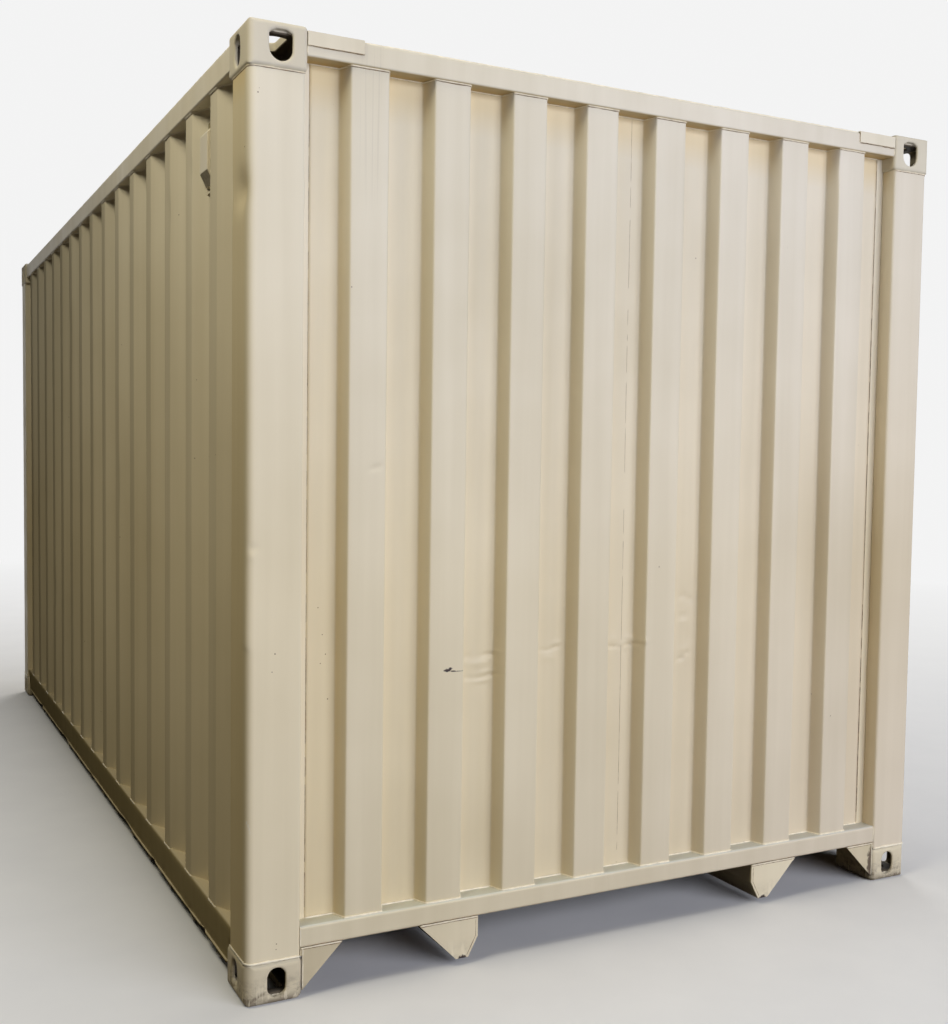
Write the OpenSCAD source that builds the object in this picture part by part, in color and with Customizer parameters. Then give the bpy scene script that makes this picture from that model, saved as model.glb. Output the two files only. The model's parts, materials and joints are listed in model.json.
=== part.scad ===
// Steel freight container of the 15 ft class, standard width and height.
// X runs across the width, Y along the length with the closed front end at -Y,
// and Z up from the level that the base fittings stand on.

/* [Overall] */
// Length over the corner fittings
body_l = 4600; // [4300:10:6100]
// Width over the corner fittings
body_w = 2438; // [2400:2:2500]
// Height over the corner fittings
body_h = 2591; // [2500:1:2900]

/* [Corner fittings] */
// Length of a fitting along the container
fit_l = 178; // [170:1:185]
// Width of a fitting across the container
fit_w = 162; // [158:1:170]
// Height of a fitting
fit_h = 118; // [114:1:126]
// Thickness of the side walls of a fitting
fit_wall = 12; // [8:0.5:16]
// Thickness of the plate that holds the twist lock slot
fit_plate = 28.5; // [20:0.5:32]
// Length of the twist lock slot
slot_l = 124.5; // [110:0.5:130]
// Width of the twist lock slot
slot_w = 63.5; // [56:0.5:68]
// Distance of a fitting's holes from the end face
hole_in_y = 101.5; // [95:0.5:106]
// Distance of a fitting's holes from the side face
hole_in_x = 89; // [84:0.5:94]
// Height of the holes in the end and side faces
hole_h = 79.5; // [70:0.5:84]
// Width of the end hole in a top fitting
top_hole_w = 63.5; // [51:0.5:68]
// Cut of the upper corners of that hole
top_hole_cut = 18; // [6:0.5:24]
// Width of the end hole in a base fitting, and of all side holes
base_hole_w = 51; // [44:0.5:60]
// Radius of a fitting's outer upright edge
fit_edge_r = 14; // [8:0.5:20]
// Radius of a fitting's level outer edges
fit_rim_r = 5; // [2:0.5:7]

/* [Corner posts] */
// Width of a front post's end face and of every post's side face
post_w = 156; // [140:1:160]
// Thickness of the post plate
post_t = 6; // [4:0.5:8]
// Distance of the post faces inside the fittings
post_inset = 3; // [1:0.5:6]
// Outer radius of the post's upright bend
post_bend_r = 22; // [14:1:30]
// Width of the flange that the wall sheet is welded to
post_flange = 29; // [20:1:36]
// Distance of that flange in front of the sheet
flange_proud = 2; // [0.5:0.5:4]
// Width of a rear post's end face
rear_post_w = 72; // [60:1:80]
// Depth of a rear post's box section
rear_post_d = 113; // [100:1:130]
// Thickness of a rear post's inner plate
rear_post_t = 12; // [8:0.5:14]

/* [Front end] */
// Distance of the header and sill faces inside the fittings
end_inset = 5; // [2:0.5:8]
// Distance of the rib faces behind the sill face
front_setback = 8; // [4:0.5:12]
// Width of a front rib
front_rib_w = 110; // [90:1:120]
// Width of a front rib's slope
front_slope = 18; // [12:0.5:26]
// Pitch of the front ribs
front_pitch = 250; // [240:1:262]
// Depth of the front ribs
front_depth = 45.6; // [36:0.1:50]
// Thickness of the front wall sheet
front_t = 2; // [1.6:0.1:3]
// Height of the front sill above the ground
sill_z = 138; // [130:1:160]
// Height of the front sill tube
sill_h = 60; // [50:1:70]
// Depth of the front sill and header tubes
sill_d = 60; // [54:1:80]
// Wall of the front sill tube
sill_t = 4; // [3:0.5:6]
// Height of the front header tube
header_h = 60; // [50:1:70]
// Wall of the front header tube
header_t = 3; // [2:0.5:5]
// Width of a base gusset at the sill
gusset_w = 117; // [90:1:140]
// Height of the lowest edge of the gussets and tunnel plates
plate_z = 22; // [15:1:40]
// Thickness of the gussets and tunnel plates
plate_t = 6; // [4:0.5:8]

/* [Side walls] */
// Distance of the side rib faces inside the fittings
side_inset = 15; // [12:0.5:18]
// Width of a side rib
side_rib_w = 72; // [60:1:80]
// Width of a side rib's slope
side_slope = 68; // [50:1:74]
// Pitch of the side ribs
side_pitch = 278; // [270:1:300]
// Depth of the side ribs
side_depth = 36; // [30:0.5:40]
// Thickness of the side wall sheet
side_t = 1.6; // [1.4:0.1:2.5]
// Distance from the end face to the first side rib's slope
side_first = 272; // [205:1:300]

/* [Side rails] */
// Height of the top side rail tube
top_rail_h = 70; // [55:1:75]
// Width of the top side rail tube
top_rail_w = 60; // [54:1:75]
// Wall of the top side rail tube
top_rail_t = 3; // [2:0.5:5]
// Distance of the top side rail's face inside the fittings
top_rail_inset = 8; // [4:0.5:11]
// Height of the base side rail above the ground
base_rail_z = 42; // [35:1:50]
// Height of the base side rail
base_rail_h = 114; // [108:1:120]
// Thickness of the base side rail
base_rail_t = 4.5; // [3:0.5:6]
// Width of the base side rail's inner top flange
base_rail_top_w = 48; // [44:1:60]
// Reach of the base side rail's outer flange past its web
base_rail_lip = 8; // [4:0.5:12]
// Gap between the end fittings and the cut back outer flange
base_rail_notch = 30; // [10:1:60]

/* [Roof] */
// Distance from the fittings' top to the roof frame's top
roof_drop = 15; // [12:0.5:20]
// Thickness of the roof sheet
roof_t = 2; // [1.6:0.1:3]
// Pitch of the roof troughs
roof_pitch = 209; // [190:1:230]
// Width of a trough's floor
trough_w = 91; // [70:1:100]
// Width of a trough's slope
trough_slope = 13.5; // [8:0.5:20]
// Depth of the roof troughs
trough_depth = 20; // [12:0.5:24]
// Distance from the roof's side edge to the troughs' ends
trough_in = 110; // [90:1:160]
// Length of the slope at each end of a trough
trough_run = 40; // [25:1:80]
// Distance of the roof sheet's edges inside the rails that carry it
roof_edge = 6; // [3:0.5:15]
// Length of a roof corner plate along the end
corner_plate_l = 160; // [120:1:250]
// Thickness of a roof corner plate
corner_plate_t = 3; // [2:0.5:4]
// Reach of a roof corner plate past the fitting, along the side
corner_plate_reach = 60; // [30:5:120]
// Height of the corner plate's lap over the front header
corner_lap = 33; // [20:1:45]

/* [Underframe] */
// Height of the cross-members above the ground
cross_z = 20; // [15:1:22]
// Height of a cross-member channel
cross_h = 122; // [116:1:126]
// Width of a cross-member's flanges
cross_w = 45; // [35:1:60]
// Thickness of the cross-members
cross_t = 4; // [3:0.5:6]
// Pitch of the cross-members
cross_pitch = 300; // [260:1:340]
// Clear width of the gooseneck tunnel
tunnel_w = 1029; // [1000:1:1060]
// Length of the gooseneck tunnel
tunnel_l = 3315; // [3000:5:3400]
// Thickness of the tunnel plates
tunnel_t = 4; // [3:0.5:6]
// Height above the ground where the tunnel's sides start to flare
flare_z = 80; // [60:1:100]
// Width of the flare
flare_w = 31; // [20:1:45]
// Width of the level foot of a tunnel plate
foot_w = 40; // [30:1:60]
// Width of a tunnel plate at the sill
tunnel_plate_w = 188; // [150:1:220]
// Depth of the tunnel bows
bow_h = 18; // [12:0.5:18]
// Width of a tunnel bow
bow_w = 130; // [90:1:160]

/* [Floor] */
// Thickness of the floor boards
floor_t = 28; // [21:0.5:30]
// Width of the steel rail along the floor's middle
centre_rail_w = 50; // [40:1:80]
// Gap between floor boards
board_gap = 2; // [1:0.5:4]
// Length of a floor board
board_l = 2200; // [1800:10:2400]

/* [Ventilators] */
// Width of a ventilator along the wall
vent_w = 100; // [80:1:110]
// Height of a ventilator
vent_h = 170; // [120:1:200]
// Depth of a ventilator from the recess floor
vent_d = 28; // [20:0.5:34]
// Distance from the top rail to a ventilator
vent_drop = 75; // [50:1:150]
// Depth of a ventilator's throat behind its hood
vent_throat = 10; // [6:0.5:16]

/* [Doors] */
// Distance of the door faces inside the rear end face
door_inset = 52; // [48:0.5:60]
// Thickness of a door leaf
leaf_t = 50; // [44:1:60]
// Width of the door frame's uprights
stile_w = 100; // [70:1:120]
// Height of the door frame's level members
leaf_rail_h = 120; // [90:1:150]
// Depth of the door panel's ribs
leaf_depth = 36; // [24:1:40]
// Thickness of the door sheet
leaf_sheet_t = 2; // [1.6:0.1:3]
// Number of level ribs on a door
leaf_ribs = 5; // [3:1:7]
// Height of a door rib's face
leaf_rib_h = 186; // [170:2:200]
// Gap between a leaf and the frame, closed by the seal
leaf_gap = 12; // [8:0.5:16]
// Gap between the two leaves
meeting_gap = 10; // [6:0.5:14]
// Depth of the rear header and rear sill
rear_frame_d = 98; // [80:1:110]
// Wall of the rear header and rear sill
rear_frame_t = 4; // [3:0.5:6]
// Height of the rear header
rear_header_h = 126; // [122:1:160]
// Depth of the door seal from its outer to its inner face
seal_d = 22; // [14:1:30]
// Distance of the seal's outer face behind the door's face
seal_in = 8; // [4:0.5:16]

/* [Door gear] */
// Radius of a hinge pin
hinge_r = 11; // [8:0.5:12]
// Height of a hinge
hinge_h = 120; // [100:2:160]
// Distance of a hinge pin inside the post
hinge_out = 16; // [13:0.5:22]
// Gap between a hinge pin and the leaf's face
pin_gap = 1; // [0.5:0.5:3]
// Height of a hinge lug
lug_h = 30; // [20:1:34]
// Length of a hinge blade on the leaf
blade_l = 150; // [110:5:220]
// Thickness of a hinge blade
blade_t = 8; // [6:0.5:10]
// Distance from a leaf's edge to its outer hinges
hinge_end = 160; // [120:5:260]
// Diameter of a lock rod
rod_d = 34; // [27:0.5:38]
// Wall of a lock rod
rod_t = 3; // [2:0.5:5]
// Gap between a lock rod and the door
rod_clear = 7; // [4:0.5:9]
// Distance of the inner lock rods from the middle
inner_rod_x = 300; // [200:5:360]
// Distance of the outer lock rods from the leaves' outer edges
outer_rod_in = 275; // [200:5:330]
// Height of a rod guide
guide_h = 50; // [40:1:60]
// Wall of the rod guides and of the handle hubs
guide_wall = 6; // [4:0.5:8]
// Reach of a guide's foot past the rod
guide_wing = 22; // [15:1:35]
// Thickness of a guide's foot
guide_t = 8; // [5:0.5:10]
// Height of a lock cam
cam_h = 70; // [60:1:80]
// Wall of a lock cam round its rod
cam_wall = 7; // [5:0.5:9]
// Reach of a cam's nose from the rod's middle
nose_l = 48; // [44:1:56]
// Thickness of a cam's nose
nose_t = 16; // [12:0.5:18]
// Distance of the nose from the cam's ends
nose_step = 12; // [10:0.5:16]
// Play round a cam's nose in its keeper
nose_clear = 4; // [2:0.5:6]
// Distance of the base cams above the rear sill's lower edge
cam_rise = 45; // [30:1:60]
// Distance of the top cams below the rear header's upper edge
cam_drop = 12; // [9:0.5:20]
// Width of a cam keeper
keeper_w = 32; // [24:1:40]
// Height of a keeper's jaw
keeper_jaw = 16; // [12:0.5:20]
// Length of a lock handle
handle_l = 440; // [380:5:460]
// Height of a handle's bar
handle_w = 26; // [20:1:30]
// Thickness of a handle's bar
handle_t = 12; // [8:0.5:14]
// Height of a handle's hub
hub_h = 50; // [44:1:56]
// Rise from the inner to the outer handles
handle_rise = 110; // [104:1:116]
// Width of a handle catch
catch_w = 50; // [40:1:70]
// Distance from a handle's free end to its catch's middle
catch_in = 60; // [40:1:90]

/* [Hidden] */

cream = [0.86, 0.80, 0.66];
shade_cream = [0.80, 0.74, 0.60];
plywood = [0.55, 0.38, 0.22];
seal_black = [0.06, 0.06, 0.06];
zinc = [0.62, 0.62, 0.60];

eps = 1;
half_l = body_l / 2;
half_w = body_w / 2;
front_y = -half_l;
rear_y = half_l;
roof_z = body_h - roof_drop;
sill_top = sill_z + sill_h;
header_z = roof_z - header_h;
top_rail_z = roof_z - top_rail_h;
base_rail_top = base_rail_z + base_rail_h;
floor_z = cross_z + cross_h;
floor_top = floor_z + floor_t;
// Planes of the sheets, measured inward from the fittings' faces
front_rib_in = end_inset + front_setback;
front_floor_in = front_rib_in + front_depth;
side_floor_in = side_inset + side_depth;
post_reach = post_w + post_flange;
// Rear end
rear_opening = half_w - rear_post_w;
leaf_y = rear_y - door_inset - leaf_t;
leaf_z = floor_top + leaf_gap;
rear_header_z = roof_z - rear_header_h;
leaf_top = rear_header_z - leaf_gap;
leaf_x0 = meeting_gap / 2;
leaf_x1 = rear_opening - leaf_gap;
frame_y = rear_y - door_inset;
leaf_pitch = (leaf_top - leaf_z - 2 * leaf_rail_h) / leaf_ribs;
rod_r = rod_d / 2;
rod_y = frame_y + rod_clear + rod_r;
cam_z_base = cross_z + cam_rise;
cam_z_top = roof_z - cam_h - cam_drop;
cam_levels = [cam_z_base, cam_z_top];
outer_rod_x = leaf_x1 - outer_rod_in;
rod_places = [inner_rod_x, outer_rod_x];

// A rectangle whose four corners are true arcs
module round_rect(x, y, r) {
    translate([r, 0]) square([x - 2 * r, y]);
    translate([0, r]) square([x, y - 2 * r]);
    for (i = [r, x - r], j = [r, y - r])
        translate([i, j]) circle(r = r, $fn = 48);
}

// A rectangle with only the corner at its origin rounded
module corner_rect(x, y, r) {
    translate([r, 0]) square([x - r, y]);
    translate([0, r]) square([x, y - r]);
    translate([r, r]) circle(r = r, $fn = 64);
}

// A slot with parallel sides and round ends, standing along Y
module oblong(w, h) {
    translate([-w / 2, -(h - w) / 2]) square([w, h - w]);
    for (s = [-1, 1]) translate([0, s * (h - w) / 2]) circle(d = w, $fn = 48);
}

// The twist lock slot: a circle with two flats, long along Y
module twist_slot() {
    intersection() {
        circle(d = slot_l, $fn = 64);
        square([slot_w, slot_l + eps], center = true);
    }
}

// The wide end hole of a top fitting: a shield, round towards +Y and with cut
// corners towards -Y
module shield_hole() {
    r = top_hole_w / 2;
    end = hole_h / 2;
    translate([0, end - r]) circle(r = r, $fn = 64);
    polygon([[-r, end - r], [r, end - r], [r, top_hole_cut / 2 - end], [r - top_hole_cut, -end],
        [top_hole_cut - r, -end], [-r, top_hole_cut / 2 - end]]);
}

// One fitting with its outer corner at the origin, reaching to +X and +Y.
// The slotted plate is at the bottom and end_w is the width of the end hole.
module fitting(end_w, wide) {
    difference() {
        intersection() {
            linear_extrude(fit_h) corner_rect(fit_w, fit_l, fit_edge_r);
            translate([0, fit_l, 0]) rotate([90, 0, 0])
                linear_extrude(fit_l) corner_rect(fit_w, fit_h, fit_rim_r);
            multmatrix([[0, 0, 1, 0], [1, 0, 0, 0], [0, 1, 0, 0], [0, 0, 0, 1]])
                linear_extrude(fit_w) corner_rect(fit_l, fit_h, fit_rim_r);
        }
        translate([fit_wall, fit_wall, fit_plate])
            cube([fit_w - 2 * fit_wall, fit_l - 2 * fit_wall, fit_h - fit_plate - fit_wall]);
        translate([hole_in_x, hole_in_y, -eps])
            linear_extrude(fit_plate + 2 * eps) twist_slot();
        translate([hole_in_x, fit_wall + eps, fit_h / 2]) rotate([90, 0, 0])
            linear_extrude(fit_wall + 2 * eps)
                if (wide) shield_hole(); else oblong(end_w, hole_h);
        translate([-eps, hole_in_y, fit_h / 2]) rotate([90, 0, 90])
            linear_extrude(fit_wall + 2 * eps) oblong(base_hole_w, hole_h);
    }
}

// Places a piece made for the front left base corner at another corner.
// sx and sy are -1 for left and front, 1 for right and rear
module at_corner(sx, sy) {
    translate([sx * half_w, sy * half_l, 0])
        scale([-sx, -sy, 1]) children();
}

module base_fitting(sx, sy) {
    color(cream) at_corner(sx, sy) fitting(base_hole_w, false);
}

module top_fitting(sx, sy) {
    color(cream) at_corner(sx, sy)
        translate([0, 0, body_h]) mirror([0, 0, 1]) fitting(top_hole_w, true);
}

// Section of a pressed L post, from its outer corner at the origin.
// Each leg turns in at its end, to carry the flange for the wall sheet
module bent_corner() {
    intersection() {
        translate([post_inset, post_inset]) square(post_bend_r);
        translate([post_inset + post_bend_r, post_inset + post_bend_r]) difference() {
            circle(r = post_bend_r, $fn = 64);
            circle(r = post_bend_r - post_t, $fn = 64);
        }
    }
}

module front_post_section() {
    leg = post_w - post_inset - post_bend_r;
    bent_corner();
    translate([post_inset + post_bend_r, post_inset]) square([leg, post_t]);
    translate([post_inset, post_inset + post_bend_r]) square([post_t, leg]);
    translate([post_w - post_t, post_inset])
        square([post_t, front_floor_in + post_t - flange_proud - post_inset]);
    translate([post_inset, post_w - post_t])
        square([side_floor_in + post_t - flange_proud - post_inset, post_t]);
}

module front_flange_section() {
    translate([post_w, front_floor_in - flange_proud]) square([post_flange, post_t]);
}

module side_flange_section() {
    translate([side_floor_in - flange_proud, post_w]) square([post_t, post_flange]);
}

module front_post(sx) {
    color(cream) at_corner(sx, -1) {
        translate([0, 0, fit_h]) linear_extrude(body_h - 2 * fit_h) front_post_section();
        translate([0, 0, sill_top]) linear_extrude(body_h - fit_h - sill_top)
            front_flange_section();
        translate([0, 0, body_h - fit_h - eps])
            linear_extrude(header_z - body_h + fit_h + eps)
                translate([fit_w, front_floor_in - flange_proud])
                    square([post_reach - fit_w, post_t]);
        translate([0, 0, base_rail_top]) linear_extrude(body_h - fit_h - base_rail_top)
            side_flange_section();
        translate([0, 0, body_h - fit_h - eps])
            linear_extrude(top_rail_z - body_h + fit_h + eps)
                translate([side_floor_in - flange_proud, fit_l])
                    square([post_t, post_reach - fit_l]);
    }
}

module rear_post_section() {
    leg = post_w - post_inset - post_bend_r;
    bent_corner();
    translate([post_inset + post_bend_r, post_inset])
        square([rear_post_w - post_inset - post_bend_r, post_t]);
    translate([post_inset, post_inset + post_bend_r]) square([post_t, leg]);
    translate([rear_post_w - rear_post_t, post_inset])
        square([rear_post_t, rear_post_d - post_inset]);
    translate([post_inset, rear_post_d - post_t])
        square([rear_post_w - post_inset, post_t]);
    translate([post_inset, post_w - post_t])
        square([side_floor_in + post_t - flange_proud - post_inset, post_t]);
}

module rear_post(sx) {
    color(cream) at_corner(sx, 1) {
        translate([0, 0, fit_h]) linear_extrude(body_h - 2 * fit_h) rear_post_section();
        translate([0, 0, base_rail_top]) linear_extrude(body_h - fit_h - base_rail_top)
            side_flange_section();
        translate([0, 0, body_h - fit_h - eps])
            linear_extrude(top_rail_z - body_h + fit_h + eps)
                translate([side_floor_in - flange_proud, fit_l])
                    square([post_t, post_reach - fit_l]);
    }
}

// Outline of a ribbed sheet. The sheet lies along X from 0 to span, its recess
// floors face -Y at y = depth and its ribs at y = 0. firsts holds where each rib's
// first slope starts
function rib_face(firsts, slope, rib, depth, shift, t) = [
    for (s = firsts, k = [0:3])
        k == 0 ? [s + shift, depth + t] :
        k == 1 ? [s + slope + shift, t] :
        k == 2 ? [s + slope + rib - shift, t] :
        [s + 2 * slope + rib - shift, depth + t]];

function turned(points) = [for (i = [len(points) - 1:-1:0]) points[i]];

module ribbed_sheet(span, firsts, slope, rib, depth, t) {
    bend = t * (sqrt(slope * slope + depth * depth) - slope) / depth;
    polygon(concat(
        [[0, depth]], rib_face(firsts, slope, rib, depth, 0, 0), [[span, depth]],
        [[span, depth + t]], turned(rib_face(firsts, slope, rib, depth, bend, t)),
        [[0, depth + t]]));
}

module front_wall() {
    span = body_w - 2 * post_reach;
    rib = front_rib_w + 2 * front_slope;
    count = floor((span - rib) / front_pitch) + 1;
    first = (span - (count - 1) * front_pitch - rib) / 2;
    color(cream) translate([-span / 2, front_y + front_rib_in, sill_top])
        linear_extrude(header_z - sill_top)
            ribbed_sheet(span, [for (i = [0:count - 1]) first + i * front_pitch],
                front_slope, front_rib_w, front_depth, front_t);
}

module tube_section(x, y, t) {
    difference() {
        round_rect(x, y, 2 * t);
        translate([t, t]) round_rect(x - 2 * t, y - 2 * t, t);
    }
}

// A square tube along X, given by its lowest corner and its reach each way
module cross_tube(half, y, z, d, h, t) {
    translate([-half, y, z]) rotate([90, 0, 90])
        linear_extrude(2 * half) tube_section(d, h, t);
}

module front_header() {
    color(cream) cross_tube(half_w - fit_w, front_y + end_inset, header_z,
        sill_d, header_h, header_t);
}

module front_sill() {
    color(cream) cross_tube(half_w - post_w, front_y + end_inset, sill_z,
        sill_d, sill_h, sill_t);
}

// A plate in the plane of the sill face, outlined by points of X and Z
module face_plate(points) {
    translate([0, front_y + end_inset + plate_t, 0]) rotate([90, 0, 0])
        linear_extrude(plate_t) polygon(points);
}

module front_gussets() {
    inner = half_w - fit_w;
    post_edge = half_w - post_w;
    color(cream) for (s = [-1, 1])
        face_plate([[s * inner, plate_z], [s * (inner - gusset_w), sill_z],
            [s * post_edge, sill_z], [s * post_edge, fit_h], [s * inner, fit_h]]);
}

module tunnel_plates() {
    side = tunnel_w / 2;
    color(cream) for (s = [-1, 1])
        face_plate([[s * side, sill_z], [s * (side + tunnel_plate_w), sill_z],
            [s * (side + flare_w + foot_w), plate_z], [s * (side + flare_w), plate_z],
            [s * side, flare_z]]);
}

module side_wall(sx) {
    span = body_l - 2 * post_reach;
    first = side_first - post_reach;
    rib = side_rib_w + 2 * side_slope;
    count = floor((span - first - rib) / side_pitch) + 1;
    color(shade_cream) translate([sx * (half_w - side_inset), front_y + post_reach, base_rail_top])
        linear_extrude(top_rail_z - base_rail_top)
            multmatrix([[0, -sx, 0, 0], [1, 0, 0, 0], [0, 0, 1, 0], [0, 0, 0, 1]])
                ribbed_sheet(span, [for (i = [0:count - 1]) first + i * side_pitch],
                    side_slope, side_rib_w, side_depth, side_t);
}

// Turns a section drawn in X and Z so that it runs along Y from y0 for a length
module along_y(y0, length) {
    translate([0, y0 + length, 0]) rotate([90, 0, 0]) linear_extrude(length) children();
}

module top_rail(sx) {
    color(shade_cream) scale([sx, 1, 1])
        along_y(front_y + fit_l, body_l - 2 * fit_l)
            translate([half_w - top_rail_inset - top_rail_w, top_rail_z])
                tube_section(top_rail_w, top_rail_h, top_rail_t);
}

module base_rail(sx) {
    web = half_w - side_inset;
    color(shade_cream) scale([sx, 1, 1]) difference() {
        along_y(front_y + post_w, body_l - 2 * post_w) {
            translate([web - base_rail_t, base_rail_z]) square([base_rail_t, base_rail_h]);
            translate([web - base_rail_top_w, base_rail_top - base_rail_t])
                square([base_rail_top_w, base_rail_t]);
            translate([web - base_rail_t, base_rail_z])
                square([base_rail_lip + base_rail_t, base_rail_t]);
        }
        for (s = [-1, 1]) {
            translate([half_w - fit_w, s > 0 ? rear_y - fit_l : front_y, -eps])
                cube([fit_w + eps, fit_l, fit_h + eps]);
            translate([web, s > 0 ? rear_y - fit_l - base_rail_notch : front_y + fit_l, -eps])
                cube([base_rail_lip + eps, base_rail_notch, base_rail_top]);
        }
    }
}

// A trough's section, floor_half wide to each side at its floor and run wider at
// its top. extra widens it on every face
module trough_section(floor_half, run, extra) {
    top = roof_t - extra;
    low = floor_half + extra * (sqrt(run * run + trough_depth * trough_depth) - run) / trough_depth;
    polygon([[-low - run, top], [-low, top - trough_depth], [low, top - trough_depth],
        [low + run, top], [low + run, top + eps], [-low - run, top + eps]]);
}

// All the roof's troughs, widened by extra on every face
module troughs(extra) {
    count = floor((body_l - 2 * fit_l - trough_w) / roof_pitch);
    start = -(count - 1) * roof_pitch / 2;
    reach = half_w - top_rail_inset - trough_in;
    intersection() {
        translate([-half_w, 0, roof_z]) rotate([90, 0, 90]) linear_extrude(body_w)
            for (i = [0:count - 1]) translate([start + i * roof_pitch, 0])
                trough_section(trough_w / 2, trough_slope, extra);
        along_y(front_y, body_l) translate([0, roof_z])
            trough_section(reach - trough_run, trough_run, extra);
    }
}

module roof_panel() {
    side = half_w - top_rail_inset - roof_edge;
    color(cream) difference() {
        union() {
            translate([-side, front_y + end_inset + roof_edge, roof_z])
                cube([2 * side, body_l - end_inset - door_inset - 2 * roof_edge, roof_t]);
            troughs(roof_t);
        }
        troughs(0);
        for (sx = [-1, 1], sy = [-1, 1]) at_corner(sx, sy)
            translate([-eps, -eps, roof_z - fit_h]) cube([fit_w + eps, fit_l + eps, 2 * fit_h]);
    }
}

// Plates on the roof between the fittings, which lap over the front header
module roof_corner_plates() {
    z = roof_z + roof_t;
    color(cream) for (sx = [-1, 1]) {
        at_corner(sx, -1) {
            translate([fit_w, end_inset - corner_plate_t, z])
                cube([corner_plate_l, fit_l + corner_plate_reach, corner_plate_t]);
            translate([fit_w, end_inset - corner_plate_t, z - corner_lap])
                cube([corner_plate_l, corner_plate_t, corner_lap + eps]);
        }
        at_corner(sx, 1) translate([fit_w, door_inset, z])
            cube([corner_plate_l, fit_l + corner_plate_reach - door_inset, corner_plate_t]);
    }
}

// Outline of a tunnel side plate in X and Z, for the +X side
module tunnel_side_section(t) {
    side = tunnel_w / 2;
    polygon([[side, sill_z], [side, flare_z], [side + flare_w, plate_z],
        [side + flare_w + foot_w, plate_z], [side + flare_w + foot_w, plate_z + t],
        [side + flare_w + t / 2, plate_z + t], [side + t, flare_z + t / 4], [side + t, sill_z]]);
}

module tunnel() {
    color(shade_cream) {
        translate([-tunnel_w / 2 - tunnel_t, front_y + end_inset + sill_d, sill_z])
            cube([tunnel_w + 2 * tunnel_t, tunnel_l - end_inset - sill_d, floor_z - sill_z]);
        for (s = [-1, 1]) scale([s, 1, 1])
            along_y(front_y + end_inset + plate_t, tunnel_l - end_inset - plate_t)
                tunnel_side_section(tunnel_t);
    }
}

module bow_section() {
    difference() {
        polygon([[-bow_w / 2, 0], [-bow_w / 2 + bow_h / 2, -bow_h],
            [bow_w / 2 - bow_h / 2, -bow_h], [bow_w / 2, 0]]);
        polygon([[-bow_w / 2 + tunnel_t, eps], [-bow_w / 2 + tunnel_t, 0],
            [-bow_w / 2 + bow_h / 2 + tunnel_t, tunnel_t - bow_h],
            [bow_w / 2 - bow_h / 2 - tunnel_t, tunnel_t - bow_h],
            [bow_w / 2 - tunnel_t, 0], [bow_w / 2 - tunnel_t, eps]]);
    }
}

// Places of the cross-members along Y, from the end face
outrigger_places = [for (y = [cross_pitch:cross_pitch:tunnel_l - cross_pitch / 2]) y];
cross_last = body_l - door_inset - rear_frame_d - cross_pitch / 2;
cross_places = [for (y = [tunnel_l:cross_pitch:cross_last]) y];

module tunnel_bows() {
    color(shade_cream) for (y = outrigger_places)
        translate([-tunnel_w / 2, front_y + y, sill_z]) rotate([90, 0, 90])
            linear_extrude(tunnel_w) bow_section();
}

module channel_section() {
    difference() {
        square([cross_w, cross_h]);
        translate([cross_t, cross_t]) square([cross_w, cross_h - 2 * cross_t]);
    }
}

module channel(x0, x1, y) {
    translate([x0, y, cross_z]) rotate([90, 0, 90]) linear_extrude(x1 - x0) channel_section();
}

module outriggers() {
    web = half_w - side_inset - base_rail_t;
    side = tunnel_w / 2;
    color(shade_cream) for (s = [-1, 1]) scale([s, 1, 1]) difference() {
        for (y = outrigger_places) channel(side + tunnel_t, web, front_y + y);
        along_y(front_y, tunnel_l + eps)
            polygon([[side, cross_z - eps], [side + flare_w + foot_w + eps, cross_z - eps],
                [side + flare_w + foot_w + eps, plate_z + tunnel_t],
                [side + flare_w + tunnel_t / 2, plate_z + tunnel_t],
                [side + tunnel_t, flare_z + tunnel_t / 4], [side, flare_z]]);
    }
}

module crossmembers() {
    web = half_w - side_inset - base_rail_t;
    color(shade_cream) for (y = cross_places) channel(-web, web, front_y + y);
}

floor_y0 = front_y + end_inset + sill_d;
floor_l = body_l - end_inset - sill_d - door_inset - rear_frame_d;
floor_half = half_w - side_inset - base_rail_top_w;

module floor_boards() {
    count = ceil(floor_l / (board_l + board_gap));
    color(plywood) for (s = [-1, 1], i = [0:count - 1]) scale([s, 1, 1])
        translate([centre_rail_w / 2, floor_y0 + i * (board_l + board_gap), floor_z])
            cube([floor_half - centre_rail_w / 2,
                min(board_l, floor_l - i * (board_l + board_gap)), floor_t]);
}

module floor_rail() {
    color(zinc) translate([-centre_rail_w / 2, floor_y0, floor_z]) difference() {
        cube([centre_rail_w, floor_l, floor_t]);
        translate([cross_t, -eps, -eps])
            cube([centre_rail_w - 2 * cross_t, floor_l + 2 * eps, floor_t - cross_t + eps]);
    }
}

// A ventilator's hood, with its back on the recess floor at x = 0. Its mouth slopes
// down from the lip to the throat, and its sides follow the recess's slopes
module ventilator() {
    lip = vent_throat / 2;
    flat = (side_pitch - side_rib_w) / 2 - side_slope;
    run = vent_d * side_slope / side_depth;
    intersection() {
        translate([0, vent_w / 2, 0]) rotate([90, 0, 0]) linear_extrude(vent_w)
            polygon([[0, 0], [0, vent_h], [vent_d - lip, vent_h], [vent_d, vent_h - lip],
                [vent_d, vent_d], [vent_throat, 0]]);
        translate([0, 0, -eps]) linear_extrude(vent_h + 2 * eps)
            polygon([[0, -flat], [vent_d, -flat - run], [vent_d, flat + run], [0, flat]]);
    }
}

// One ventilator on each side, in the recess behind the first rib
module ventilators() {
    recess = side_first + side_slope + (side_pitch + side_rib_w) / 2;
    z = top_rail_z - vent_drop - vent_h;
    color(shade_cream) for (s = [-1, 1]) scale([s, 1, 1])
        translate([half_w - side_floor_in, front_y + recess, z]) ventilator();
}

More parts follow.
